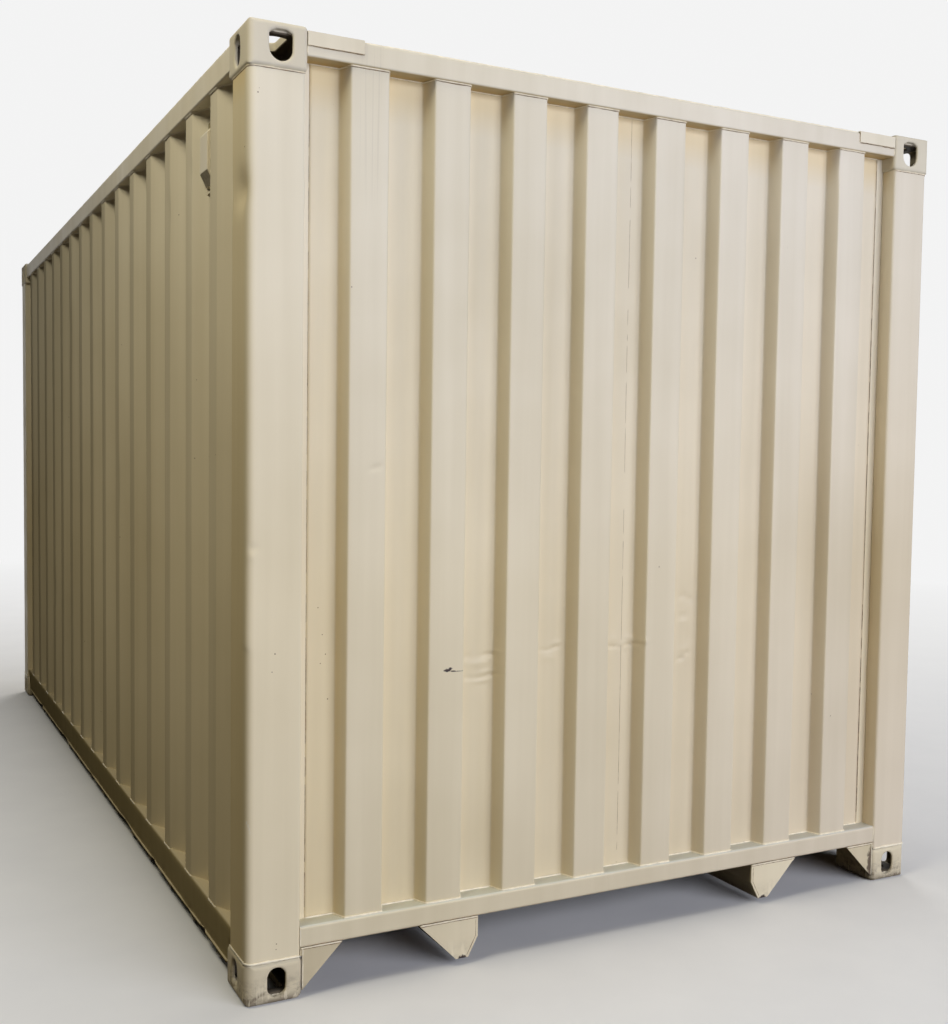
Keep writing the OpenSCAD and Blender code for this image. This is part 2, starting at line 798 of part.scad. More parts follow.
// Rear header and rear sill: a box between the fittings with a wider part between the posts
module rear_box(z, low_h, high_h, low_half, high_half) {
    t = rear_frame_t;
    translate([0, frame_y - rear_frame_d, z]) difference() {
        union() {
            translate([-low_half, 0, 0]) cube([2 * low_half, rear_frame_d, low_h]);
            translate([-high_half, 0, low_h]) cube([2 * high_half, rear_frame_d, high_h]);
        }
        translate([-max(low_half, high_half) - eps, t, t])
            cube([2 * max(low_half, high_half) + 2 * eps, rear_frame_d - 2 * t, low_h + high_h - 2 * t]);
    }
}

module rear_header() {
    low = body_h - fit_h - rear_header_z;
    color(cream) rear_box(rear_header_z, low, rear_header_h - low, rear_opening, half_w - fit_w);
}

module rear_sill() {
    color(cream) rear_box(cross_z, fit_h - cross_z, floor_top - fit_h, half_w - fit_w, rear_opening);
}

// One door leaf for the +X side: a closed frame with a ribbed sheet in it
module leaf() {
    w = leaf_x1 - leaf_x0;
    h = leaf_top - leaf_z;
    inner_h = h - 2 * leaf_rail_h;
    slope = leaf_depth;
    first = (leaf_pitch - leaf_rib_h) / 2 - slope;
    translate([leaf_x0, leaf_y, leaf_z]) {
        difference() {
            cube([w, leaf_t, h]);
            translate([stile_w, -eps, leaf_rail_h])
                cube([w - 2 * stile_w, leaf_t + 2 * eps, inner_h]);
        }
        translate([stile_w, leaf_t, leaf_rail_h + inner_h]) rotate([0, 90, 0])
            linear_extrude(w - 2 * stile_w) scale([1, -1, 1])
                ribbed_sheet(inner_h, [for (i = [0:leaf_ribs - 1]) first + i * leaf_pitch],
                    slope, leaf_rib_h, leaf_depth, leaf_sheet_t);
    }
}

module left_door() {
    color(cream) scale([-1, 1, 1]) leaf();
}

module right_door() {
    color(cream) leaf();
}

// Rubber between each leaf and the frame, and between the leaves
module door_seals() {
    h = leaf_top - leaf_z;
    y = frame_y - seal_in - seal_d;
    color(seal_black) difference() {
        translate([-rear_opening, y, floor_top])
            cube([2 * rear_opening, seal_d, rear_header_z - floor_top]);
        for (s = [-1, 1]) scale([s, 1, 1])
            translate([leaf_x0, y - eps, leaf_z]) cube([leaf_x1 - leaf_x0, seal_d + 2 * eps, h]);
    }
}

hinge_pitch = (leaf_top - leaf_z - 2 * hinge_end) / 3;
hinge_levels = [for (i = [0:3]) leaf_z + hinge_end + i * hinge_pitch];

// A pin in two lugs on the post, and a blade flat on the leaf
module door_hinges() {
    lug_t = 1.2 * hinge_r;
    blade_z = lug_h + 2 * pin_gap;
    color(zinc) for (s = [-1, 1], z = hinge_levels) scale([s, 1, 1])
        translate([rear_opening - hinge_out, frame_y, z - hinge_h / 2]) {
            translate([0, hinge_r + pin_gap, 0])
                cylinder(r = hinge_r, h = hinge_h, $fn = 32);
            for (lug = [0, hinge_h - lug_h])
                translate([0, hinge_r + pin_gap - lug_t / 2, lug])
                    cube([hinge_out, lug_t, lug_h]);
            translate([-blade_l, 0, blade_z]) cube([blade_l, blade_t, hinge_h - 2 * blade_z]);
        }
}

// Repeats a piece made for the +X side at each rod and each of the given levels
module at_rods(levels) {
    for (s = [-1, 1], x = rod_places, z = levels)
        scale([s, 1, 1]) translate([x, rod_y, z]) children();
}

// A ring round the rod, r outside
module rod_ring(r, h) {
    difference() {
        union() {
            cylinder(r = r, h = h, $fn = 48);
            children();
        }
        translate([0, 0, -eps]) cylinder(d = rod_d, h = h + 2 * eps, $fn = 48);
    }
}

module lock_rods() {
    h = cam_z_top + cam_h - cam_z_base;
    color(zinc) at_rods([cam_z_base]) difference() {
        cylinder(d = rod_d, h = h, $fn = 48);
        translate([0, 0, -eps]) cylinder(d = rod_d - 2 * rod_t, h = h + 2 * eps, $fn = 48);
    }
}

// The level of a door rib's middle
function rib_level(i) = leaf_z + leaf_rail_h + (i + 0.5) * leaf_pitch;

guide_levels = [leaf_z + leaf_rail_h / 2, rib_level(1), rib_level(leaf_ribs - 2),
    leaf_top - leaf_rail_h / 2];

// A guide wraps each rod and is screwed flat to the leaf
module rod_guides() {
    ring = rod_r + guide_wall;
    half = rod_r + guide_wing;
    back = rod_clear + rod_r;
    color(zinc) at_rods(guide_levels) translate([0, 0, -guide_h / 2])
        rod_ring(ring, guide_h) {
            translate([-half, -back, 0]) cube([2 * half, guide_t, guide_h]);
            translate([-ring, -back, 0]) cube([2 * ring, back, guide_h]);
        }
}

// Each rod's end carries a cam, whose nose points away from the middle
module lock_cams() {
    color(zinc) at_rods(cam_levels) rod_ring(rod_r + cam_wall, cam_h)
        translate([0, -nose_t / 2, nose_step])
            cube([nose_l, nose_t, cam_h - 2 * nose_step]);
}

// Keepers on the header and sill, with a jaw above and below each cam's nose
module cam_keepers() {
    reach = rod_clear + rod_d;
    back = rod_clear + rod_r;
    pocket = nose_step - nose_clear;
    color(zinc) at_rods(cam_levels) translate([rod_r + cam_wall + nose_clear, -back, 0])
        difference() {
            translate([0, 0, pocket - keeper_jaw])
                cube([keeper_w, reach, cam_h - 2 * pocket + 2 * keeper_jaw]);
            translate([-eps, back - nose_t / 2 - nose_clear, pocket])
                cube([keeper_w + 2 * eps, reach, cam_h - 2 * pocket]);
        }
}

// The handles lie on the middle rib, the inner ones below the outer ones.
// Each entry holds a rod's place, the way that its handle points and its hub's level
handle_z = rib_level(floor(leaf_ribs / 2)) - hub_h / 2;
handles = [[inner_rod_x, 1, handle_z - handle_rise / 2],
    [outer_rod_x, -1, handle_z + handle_rise / 2]];

module lock_handles() {
    color(zinc) for (s = [-1, 1], h = handles) scale([s, 1, 1])
        translate([h[0], rod_y, h[2]]) scale([h[1], 1, 1])
            rod_ring(rod_r + guide_wall, hub_h)
                translate([0, -handle_t / 2, (hub_h - handle_w) / 2])
                    cube([handle_l, handle_t, handle_w]);
}

// A catch holds each handle's free end against the leaf
module handle_catches() {
    back = rod_clear + rod_r;
    catch_h = hub_h + 2 * guide_wall;
    color(zinc) for (s = [-1, 1], h = handles) scale([s, 1, 1])
        translate([h[0] + h[1] * (handle_l - catch_in), frame_y, h[2] + hub_h / 2])
            difference() {
                translate([-catch_w / 2, 0, -catch_h / 2])
                    cube([catch_w, back + handle_t, catch_h]);
                translate([-catch_w / 2 - eps, back - handle_t / 2, -handle_w / 2])
                    cube([catch_w + 2 * eps, handle_t, handle_w]);
            }
}

top_fitting(-1, -1);  // fitting_front_left_top
top_fitting(1, -1);  // fitting_front_right_top
base_fitting(-1, -1);  // fitting_front_left_base
base_fitting(1, -1);  // fitting_front_right_base
top_fitting(-1, 1);  // fitting_rear_left_top
top_fitting(1, 1);  // fitting_rear_right_top
base_fitting(-1, 1);  // fitting_rear_left_base
base_fitting(1, 1);  // fitting_rear_right_base
front_post(-1);  // post_front_left
front_post(1);  // post_front_right
rear_post(-1);  // post_rear_left
rear_post(1);  // post_rear_right
front_wall();
front_header();
front_sill();
front_gussets();
tunnel_plates();
side_wall(-1);  // left_wall
side_wall(1);  // right_wall
top_rail(-1);  // left_top_rail
top_rail(1);  // right_top_rail
base_rail(-1);  // left_base_rail
base_rail(1);  // right_base_rail
roof_panel();
roof_corner_plates();
tunnel();
tunnel_bows();
outriggers();
crossmembers();
floor_boards();
floor_rail();
ventilators();
rear_header();
rear_sill();
left_door();
right_door();
door_seals();
door_hinges();
lock_rods();
rod_guides();
lock_cams();
cam_keepers();
lock_handles();
handle_catches();
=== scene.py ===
import json
import math

import bmesh
import bpy
from mathutils import Matrix, Vector, noise


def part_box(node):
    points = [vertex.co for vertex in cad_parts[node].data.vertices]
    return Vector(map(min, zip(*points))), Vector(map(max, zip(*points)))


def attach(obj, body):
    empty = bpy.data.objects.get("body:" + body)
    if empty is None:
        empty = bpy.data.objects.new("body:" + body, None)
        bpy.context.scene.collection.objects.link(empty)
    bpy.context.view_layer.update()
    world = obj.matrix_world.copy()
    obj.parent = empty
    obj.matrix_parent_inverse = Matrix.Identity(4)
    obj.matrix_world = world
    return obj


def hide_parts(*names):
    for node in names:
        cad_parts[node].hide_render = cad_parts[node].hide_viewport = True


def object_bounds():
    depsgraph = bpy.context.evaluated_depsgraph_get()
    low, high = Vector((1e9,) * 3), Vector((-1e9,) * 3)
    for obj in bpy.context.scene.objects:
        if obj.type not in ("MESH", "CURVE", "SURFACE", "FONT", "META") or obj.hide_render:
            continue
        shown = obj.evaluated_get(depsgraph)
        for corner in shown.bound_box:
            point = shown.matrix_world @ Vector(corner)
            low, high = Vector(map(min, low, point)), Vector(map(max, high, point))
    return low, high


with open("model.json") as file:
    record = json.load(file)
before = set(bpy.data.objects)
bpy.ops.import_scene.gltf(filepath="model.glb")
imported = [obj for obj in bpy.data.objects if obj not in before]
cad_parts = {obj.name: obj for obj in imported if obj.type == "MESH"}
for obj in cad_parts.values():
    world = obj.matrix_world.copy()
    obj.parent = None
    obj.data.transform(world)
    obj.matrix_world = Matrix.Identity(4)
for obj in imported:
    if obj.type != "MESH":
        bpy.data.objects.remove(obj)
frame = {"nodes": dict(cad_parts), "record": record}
cad_low, cad_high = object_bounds()

# The camera, in metres and degrees, and the photograph's optical centre in pixels
CAMERA_X = -2.124
CAMERA_AHEAD = 2.9405
CAMERA_Z = 1.477
CAMERA_YAW = 26.28
CAMERA_PITCH = -3.08
CAMERA_ROLL = 0.70
FOCAL_PIXELS = 1170.477
CENTRE_X = 435.3
CENTRE_Y = 519.6
IMAGE_W = 948
IMAGE_H = 1024
SENSOR = 36

# Places taken from the frame, in metres
HALF_W = cad_high.x
FRONT = cad_low.y
REAR = cad_high.y
TOP = cad_high.z

# Sizes that the dressed pieces share with the solids, in metres
MM = 0.001
FIT_W, FIT_L, FIT_H = 0.162, 0.178, 0.118
FRONT_RIB, FRONT_SLOPE, FRONT_PITCH, FRONT_T = 0.110, 0.018, 0.250, 0.002
SIDE_RIB, SIDE_SLOPE, SIDE_PITCH, SIDE_T = 0.072, 0.068, 0.278, 0.0016
SIDE_FIRST = 0.272
POST_W, POST_T, POST_INSET, POST_BEND = 0.156, 0.006, 0.003, 0.022
REAR_POST_END = 0.072
FLANGE, FLANGE_PROUD = 0.029, 0.002
ROOF_T, ROOF_PITCH, TROUGH_FLOOR, TROUGH_SLOPE, TROUGH_DEPTH = 0.002, 0.209, 0.091, 0.0135, 0.020
TROUGH_IN, TROUGH_RUN = 0.118, 0.040
END_INSET, GUSSET_W, TUNNEL_LIP, FLARE_Z = 0.005, 0.117, 0.071, 0.080
LAP_Z, LAP_TOP, LAP_L = 2.545, 2.577, 0.160
RAIL_T, RAIL_INSET, RAIL_NOTCH = 0.0045, 0.015, 0.030
VENT_HALF, VENT_LOW, VENT_MOUTH, VENT_THROAT = 0.0415, 0.009, 0.049, 0.006
HINGE_H, HINGE_OUT, BLADE_T, GUIDE_H, LEAF_RAIL = 0.120, 0.016, 0.008, 0.050, 0.120
ROD_X = (0.300, 0.860)

# Sizes that only the dressed pieces have, in metres, and a bead's tip beside its radius
TOP_CAST_EDGE, TOP_CAST_BEND = 0.011, 0.020
BASE_CAST_EDGE, BASE_CAST_BEND = 0.018, 0.032
FRONT_BEND, SIDE_BEND = 6 * MM, 12 * MM
ROOF_STIFF, ROOF_SAG = 0.3, 0.004
CAST_VOXEL = 3.2 * MM
SHEET_SEAM, SEAM_BOLD_Z = 1.229, 0.98
BEAD_TIP = 0.4
EDGE_SOFT = 1.5 * MM

# Radii of the weld beads, the cracks and the seams, in metres
FOOT_WELD, HEAD_WELD, SIDE_WELD, ROOF_WELD = 0.0030, 0.0024, 0.0026, 0.0026
BASE_FITTING_WELD, TOP_FITTING_WELD, SILL_WELD = 0.0036, 0.0013, 0.0018
CRACK, BOLD_SEAM, FINE_SEAM, LAP_SEAM = 0.0008, 0.0013, 0.0006, 0.00045

# Colours of the paint, and of what lies on it or shows through it
CREAM = (0.78, 0.685, 0.49)
UNDER_CREAM = (0.42, 0.37, 0.27)
# The rails' cream is darkened as painted shade on their webs
RAIL_SHADED_CREAM = (0.40, 0.33, 0.185)
# Dust on what faces up, made pale also as painted light from above
DUST_AND_TOP_LIGHT = (0.64, 0.65, 0.56)
GRIME = (0.155, 0.118, 0.082)
RUST = (0.16, 0.07, 0.035)
SCRATCH = (0.055, 0.04, 0.035)
HAIR_SCRATCH = (0.80, 0.74, 0.60)
CAVITY_GRIME_AND_SHADE = (0.085, 0.066, 0.045)

# Tints of the paint in places: from age, a bluer upper part, painted shade on undersides and painted warm
# bounce light in the recesses
UPPER_TINT = (0.99, 1.035, 1.17)
DARK_TONE = (0.88, 0.86, 0.80)
UNDERSIDE_SHADE_TINT = (0.80, 0.70, 0.50)
RECESS_BOUNCE_TINT = (1.0, 0.985, 0.945)
RECESS_TOP_GLOW_TINT = (0.98, 0.91, 0.76)
FIRST_RECESS_BOUNCE_TINT = (1.0, 0.98, 0.93)
DULL_TINT = (0.87, 0.86, 0.92)
GUSSET_TINT = (0.80, 0.78, 0.74)

# Heights and depths that the wear, the bluer upper part and the painted bounce light keep to, in metres
UPPER_TINT_LOW, UPPER_TINT_HIGH = 1.1, 2.3
GRIME_TOP = 0.085
FOOT_LOW, FOOT_TOP = 0.006, 0.034
RECESS_FROM, RECESS_FULL = 0.022, 0.046
GLOW_FROM, GLOW_FULL = 0.20, 0.12
CAVITY_SIDE, CAVITY_END, CAVITY_LEVEL, CAVITY_WALL = 0.020, 0.010, 0.024, 0.009

# Marks of the front end, in metres: place across, height, then half sizes or a radius
MARK_DEPTH = 0.2
DRIPS, DRIPS_REACH = (-0.868, FRONT, 2.40), (0.055, 0.3, 0.30)
RIB_CHIPS = [(-0.621, 0.868, 0.013, 0.0055), (-0.612, 0.8725, 0.007, 0.004),
             (-0.587, 0.8635, 0.022, 0.0012), (-0.603, 0.8650, 0.012, 0.0018)]
POST_SCRATCH = [(-1.2120, 0.503), (-1.2090, 0.494), (-1.2065, 0.485), (-1.2048, 0.476)]
SCRATCH_WIDE, SCRATCH_HIGH = 0.0013, 0.0070
FRONT_SPECKS = [(-1.139, 0.950, 0.0022), (-1.147, 0.902, 0.0018), (-1.192, 2.404, 0.0018),
                (-1.131, 0.164, 0.0020), (-1.132, 0.149, 0.0016), (-1.188, 2.415, 0.0010),
                (-0.998, 1.060, 0.0022), (-0.985, 0.985, 0.0018), (-0.975, 0.930, 0.0020),
                (-0.990, 0.905, 0.0016), (-0.968, 0.805, 0.0024), (-0.925, 1.93, 0.0022)]
GUSSET_DIRT = (1.056, 0.055, 0.020, 0.085)
PLATE_TIPS = [(-0.565, 0.022, 0.016, 0.010), (0.565, 0.022, 0.016, 0.010)]
GUSSET_FROM, GUSSET_FULL = 0.80, 0.90


def placed(name, data):
    """A new object in the scene."""
    thing = bpy.data.objects.new(name, data)
    bpy.context.scene.collection.objects.link(thing)
    return thing


def make_camera():
    yaw, pitch, roll = (math.radians(a) for a in (CAMERA_YAW, CAMERA_PITCH, CAMERA_ROLL))
    ahead = Vector((math.sin(yaw) * math.cos(pitch), math.cos(yaw) * math.cos(pitch), math.sin(pitch)))
    level = Vector((math.cos(yaw), -math.sin(yaw), 0))
    up = level.cross(ahead)
    right = math.cos(roll) * level + math.sin(roll) * up
    over = math.cos(roll) * up - math.sin(roll) * level
    data = bpy.data.cameras.new("camera")
    data.sensor_width = SENSOR
    data.lens = FOCAL_PIXELS * SENSOR / IMAGE_H
    data.shift_x = (IMAGE_W / 2 - CENTRE_X) / IMAGE_H
    data.shift_y = (CENTRE_Y - IMAGE_H / 2) / IMAGE_H
    camera = placed("camera", data)
    turn = Matrix((right, over, -ahead)).transposed()
    place = Matrix.Translation((CAMERA_X, FRONT - CAMERA_AHEAD, CAMERA_Z))
    camera.matrix_world = place @ turn.to_4x4()
    bpy.context.scene.camera = camera


def scaled(colour, share):
    """A colour made lighter or darker."""
    return tuple(min(1.0, share * c) for c in colour)


class Tree:
    """The nodes of a material or of the world, made and joined by short calls."""

    def __init__(self, owner, output="OutputMaterial"):
        owner.use_nodes = True
        self.owner = owner
        self.nodes = owner.node_tree.nodes
        self.links = owner.node_tree.links
        self.nodes.clear()
        self.out = self.add(output)

    def put(self, socket, value):
        if isinstance(value, bpy.types.NodeSocket):
            self.links.new(value, socket)
        elif isinstance(value, tuple) and socket.type == "RGBA":
            socket.default_value = (*value, 1)
        else:
            socket.default_value = value

    def add(self, kind, inputs=None, **settings):
        node = self.nodes.new("ShaderNode" + kind)
        for key, value in settings.items():
            setattr(node, key, value)
        for key, value in (inputs or {}).items():
            self.put(node.inputs[key], value)
        return node

    def end(self, shader):
        """Joins the last shader to the output."""
        self.links.new(shader.outputs[0], self.out.inputs[0])
        return self.owner

    def math(self, operation, a, b=0.0, clamp=False):
        node = self.add("Math", operation=operation, use_clamp=clamp)
        self.put(node.inputs[0], a)
        self.put(node.inputs[1], b)
        return node.outputs[0]

    def times(self, a, b, clamp=False):
        return self.math("MULTIPLY", a, b, clamp)

    def ramp(self, value, low, high, out_low=0.0, out_high=1.0):
        node = self.add("MapRange", {"Value": value, "From Min": low, "From Max": high,
                                     "To Min": out_low, "To Max": out_high})
        return node.outputs[0]

    def mix(self, factor, a, b, blend="MIX"):
        node = self.add("Mix", data_type="RGBA", blend_type=blend)
        self.put(node.inputs[0], factor)
        self.put(node.inputs[6], a)
        self.put(node.inputs[7], b)
        return node.outputs[2]

    def tint(self, factor, body, colour):
        return self.mix(factor, body, colour, "MULTIPLY")

    def noise(self, scale, detail=2.0, stretch=(1, 1, 1), rough=0.5, shift=0.0, lean=0.0):
        place = self.add("Mapping", {"Vector": self.where(), "Scale": stretch,
                                     "Rotation": (lean, lean, 0), "Location": (shift, shift, shift)})
        node = self.add("TexNoise", {"Vector": place.outputs[0], "Scale": scale,
                                     "Detail": detail, "Roughness": rough})
        return node.outputs[0]

    def where(self):
        return self.add("TexCoord").outputs["Object"]

    def axes(self):
        return self.add("SeparateXYZ", {0: self.where()}).outputs

    def level(self):
        return self.axes()[2]

    def facing(self):
        """1 on what faces straight up, 0 on what is upright, and -1 on undersides."""
        normal = self.add("NewGeometry").outputs["Normal"]
        return self.add("SeparateXYZ", {0: normal}).outputs[2]

    def spot(self, centre, reach, ragged=0.0, edge=0.35):
        """1 at a place, falling to 0 at its reach along X, Y and Z."""
        place = self.add("Mapping", {"Vector": self.where(), "Scale": tuple(1 / r for r in reach),
                                     "Location": tuple(-c / r for c, r in zip(centre, reach))})
        away = self.add("VectorMath", {0: place.outputs[0]}, operation="LENGTH").outputs["Value"]
        if ragged:
            uneven = self.math("SUBTRACT", self.noise(ragged, 3), 0.5)
            away = self.math("ADD", away, self.times(uneven, 1.2))
        return self.ramp(away, 1.0, 1.0 - edge)

    def mark(self, body, colour, x, z, wide, high, ragged):
        """A ragged mark on the front end, as wide and high as twice its half sizes."""
        return self.mix(self.spot((x, FRONT, z), (wide, MARK_DEPTH, high), ragged), body, colour)


def front_tones(t, body):
    """The front end's dusty ledges with painted top light, painted shade on undersides, painted warm
    bounce light in the recesses, and a duller right part.
    """
    facing = t.facing()
    body = t.mix(t.ramp(facing, 0.5, 0.9, 0.0, 0.75), body, DUST_AND_TOP_LIGHT)
    # Painted shade: undersides darker and warmer
    body = t.tint(t.ramp(facing, -0.5, -0.9), body, UNDERSIDE_SHADE_TINT)
    x, y, z = t.axes()
    # Painted warm bounce light: the recesses warmer, most at their tops and in the first recess
    deep = t.ramp(y, FRONT + RECESS_FROM, FRONT + RECESS_FULL)
    body = t.tint(deep, body, RECESS_BOUNCE_TINT)
    top_glow = t.ramp(z, TOP - GLOW_FROM, TOP - GLOW_FULL)
    body = t.tint(t.times(deep, top_glow), body, RECESS_TOP_GLOW_TINT)
    body = t.tint(t.times(deep, t.ramp(x, -0.6, -1.0)), body, FIRST_RECESS_BOUNCE_TINT)
    dull = t.times(t.ramp(x, -0.6, 1.2), t.ramp(z, 2.2, 0.2, 0.45, 1.0))
    return t.tint(dull, body, DULL_TINT)


def front_marks(t, body):
    """Faint drips, the chips on the second rib, the post's hair scratch and the specks."""
    body = front_tones(t, body)
    streaks = t.ramp(t.noise(130, 1, (1, 0.05, 0.006)), 0.56, 0.62)
    drips = t.times(streaks, t.spot(DRIPS, DRIPS_REACH, 0, 0.7))
    body = t.mix(t.times(drips, 0.10), body, GRIME)
    for chip in RIB_CHIPS:
        body = t.mark(body, SCRATCH, *chip, 260)
    for x, z in POST_SCRATCH:
        body = t.mark(body, HAIR_SCRATCH, x, z, SCRATCH_WIDE, SCRATCH_HIGH, 60)
    for x, z, size in FRONT_SPECKS:
        body = t.mark(body, RUST, x, z, size, size, 120)
    return body


def plate_marks(t, body):
    """Duller gussets, dirt packed beside the right fitting, and the plates' knocked tips."""
    aside = t.math("ABSOLUTE", t.axes()[0])
    body = t.tint(t.ramp(aside, GUSSET_FROM, GUSSET_FULL), body, GUSSET_TINT)
    body = t.mark(body, GRIME, *GUSSET_DIRT, 70)
    for tip in PLATE_TIPS:
        body = t.mark(body, SCRATCH, *tip, 160)
    return body


def rail_lit_tops(t, body):
    """The rails' top flanges keep the walls' lighter colour, painted light beside the webs' painted
    shade.
    """
    return t.mix(t.ramp(t.facing(), 0.5, 0.9, 0.0, 0.85), body, scaled(CREAM, 0.94))


def fitting_marks(t, body):
    """Dark inner walls of the corner fittings: grime and painted shade."""
    x, y, z = t.axes()
    x, y = t.math("ABSOLUTE", x), t.math("ABSOLUTE", y)
    far = t.times(t.math("LESS_THAN", x, HALF_W - CAVITY_SIDE),
                  t.math("LESS_THAN", y, REAR - CAVITY_END))
    near = t.times(t.math("GREATER_THAN", x, HALF_W - FIT_W + CAVITY_WALL),
                   t.math("GREATER_THAN", y, REAR - FIT_L + CAVITY_WALL))
    middle = t.math("ABSOLUTE", t.math("SUBTRACT", z, TOP / 2))
    high = t.math("LESS_THAN", middle, TOP / 2 - CAVITY_LEVEL)
    inside = t.times(t.times(far, near), high)
    return t.mix(t.times(inside, 0.92), body, CAVITY_GRIME_AND_SHADE)


def uneven_tone(t, colour):
    """Cloudy tone with faint upright runs, tinted bluer in its upper part."""
    tone = t.ramp(t.noise(1.1, 4), 0.3, 0.7, -0.035, 0.035)
    runs = t.ramp(t.noise(16, 3, (1, 1, 0.03)), 0.35, 0.7, -0.012, 0.018)
    dark = tuple(c * share for c, share in zip(colour, DARK_TONE))
    body = t.mix(t.ramp(t.math("ADD", tone, runs), -0.05, 0.05), dark, scaled(colour, 1.09))
    return t.tint(t.ramp(t.level(), UPPER_TINT_LOW, UPPER_TINT_HIGH), body, UPPER_TINT)


def dust_and_top_light(t, body, amount):
    """Uneven dust on what faces up, made pale also as painted light from above."""
    drift = t.times(t.ramp(t.noise(9, 5), 0.28, 0.62, 0.45, 1.0),
                    t.ramp(t.noise(1.7, 3), 0.32, 0.62, 0.55, 1.0))
    lying = t.times(t.ramp(t.facing(), 0.35, 0.95), drift)
    return t.mix(t.times(lying, amount), body, DUST_AND_TOP_LIGHT)


def low_grime(t, body, amount, clean):
    """Grime near the ground, with streaks of the clean colour where it was scraped off."""
    low = t.ramp(t.level(), GRIME_TOP, 0.0, 0.0, 1.6)
    patch = t.ramp(t.noise(17, 6, (1, 1, 1.8), 0.68, lean=0.5), 0.42, 0.60)
    fine = t.ramp(t.noise(95, 5, (1, 1, 0.5), 0.72, lean=0.9), 0.36, 0.62, 0.5, 1.0)
    scuff = t.times(t.times(low, patch, True), fine)
    foot = t.times(t.ramp(t.level(), FOOT_TOP, FOOT_LOW),
                   t.ramp(t.noise(60, 5), 0.35, 0.5, 0.3, 0.85))
    scuff = t.math("MAXIMUM", scuff, foot)
    body = t.mix(t.times(scuff, amount, True), body, GRIME)
    scrape = t.times(t.ramp(t.noise(70, 3, (1, 1, 0.14), lean=0.7), 0.59, 0.63), low, True)
    return t.mix(t.times(scrape, 0.7), body, clean)


def rust_specks(t, body):
    """Rare pin specks of rust."""
    cells = t.add("TexVoronoi", {"Vector": t.where(), "Scale": 24.0, "Randomness": 1.0})
    dot = t.ramp(cells.outputs["Distance"], 0.052, 0.03)
    rare = t.ramp(t.noise(6.1, 2, shift=7.0), 0.63, 0.66)
    return t.mix(t.times(dot, rare, True), body, RUST)


def paint(name, colour, dust=0.85, grime=0.6, rough=0.42, sheen=0.08, marks=None):
    """Satin paint with uneven tone, dust that is also painted top light, grime and specks, then the marks
    of its own place.
    """
    t = Tree(bpy.data.materials.new(name))
    body = uneven_tone(t, colour)
    body = dust_and_top_light(t, body, dust)
    body = low_grime(t, body, grime, scaled(colour, 1.12))
    body = rust_specks(t, body)
    if marks:
        body = marks(t, body)
    bump = t.add("Bump", {"Height": t.noise(260, 2), "Strength": 0.05, "Distance": 0.001})
    gloss = t.ramp(t.noise(5, 3), 0.3, 0.7, rough - 0.05, rough + 0.09)
    shader = t.add("BsdfPrincipled", {"Base Color": body, "Roughness": gloss,
                                      "Specular IOR Level": sheen, "Normal": bump.outputs[0]})
    return t.end(shader)


def plain(name, colour, rough, metal=0.0, scale=30.0, spread=0.12):
    """A finish with a grain of its own, for welds, rust, zinc, rubber and wood."""
    t = Tree(bpy.data.materials.new(name))
    grain = t.ramp(t.noise(scale, 4), 0.3, 0.7)
    body = t.mix(grain, scaled(colour, 1 - spread), scaled(colour, 1 + spread))
    bump = t.add("Bump", {"Height": t.noise(scale * 6, 3), "Strength": 0.15, "Distance": 0.001})
    shader = t.add("BsdfPrincipled", {"Base Color": body, "Roughness": rough,
                                      "Metallic": metal, "Normal": bump.outputs[0]})
    return t.end(shader)


cream = paint("cream_paint", CREAM)
# The front end's paint is the cream made darker and the posts' paint the cream made lighter: shaded and
# lit copies of one paint, set to how bright each part looks in the light
front_paint = paint("front_paint", scaled(CREAM, 0.95), rough=0.36, sheen=0.17, marks=front_marks)
post_paint = paint("post_paint", scaled(CREAM, 1.03), sheen=0.0, marks=front_marks)
side_paint = paint("side_paint", CREAM, sheen=0.0)
plate_paint = paint("plate_paint", CREAM, grime=0.25, marks=plate_marks)
rail_shaded_paint = paint("rail_shaded_paint", RAIL_SHADED_CREAM, 0.0, 0.9, 0.6, sheen=0.0, marks=rail_lit_tops)
under = paint("underframe_paint", UNDER_CREAM, 0.3, 0.5, 0.6)
fitting_paint = paint("fitting_paint", scaled(CREAM, 0.87), 0.4, 0.9, 0.5, marks=fitting_marks)
weld_paint = plain("weld_paint", (0.84, 0.76, 0.58), 0.5, scale=60)
rust_line = plain("rust_line", (0.27, 0.18, 0.10), 0.85, scale=90, spread=0.4)
dark_gap = plain("dark_gap", (0.27, 0.185, 0.105), 0.9, scale=60, spread=0.5)
vent_mouth_shade = plain("vent_mouth_shade", (0.33, 0.285, 0.20), 0.9, scale=90, spread=0.2)
zinc = plain("zinc_steel", (0.42, 0.42, 0.41), 0.5, metal=0.6)
rubber = plain("seal_rubber", (0.03, 0.03, 0.03), 0.7)
wood = plain("plywood", (0.32, 0.20, 0.11), 0.6)
OWN_PAINT = {"front_header": front_paint, "front_sill": front_paint,
             "front_gussets": plate_paint, "tunnel_plates": plate_paint}
FINISHES = {"cream_paint": cream, "underframe_paint": under, "zinc_steel": zinc,
            "seal_rubber": rubber, "plywood": wood}


def wave(x, y, seed):
    """Even noise from about -1 to 1."""
    return noise.noise(Vector((x, y, seed)))


def hump(distance, width):
    """1 in the middle, falling smoothly to 0 beyond the width."""
    return math.exp(-(distance / width) ** 2)


def rounded(corners, radii, steps=4):
    """A folded line through the corners, with an arc at each inner one."""
    line = [corners[0]]
    for before, here, after, radius in zip(corners, corners[1:], corners[2:], radii):
        u, v = (before - here).normalized(), (after - here).normalized()
        half = u.angle(v) / 2
        centre = here + (u + v).normalized() * (radius / math.sin(half))
        reach = radius / math.tan(half)
        first, last = here + u * reach - centre, here + v * reach - centre
        turn = first.angle_signed(last)
        for k in range(steps + 1):
            line.append(centre + Matrix.Rotation(-turn * k / steps, 2) @ first)
    line.append(corners[-1])
    return line


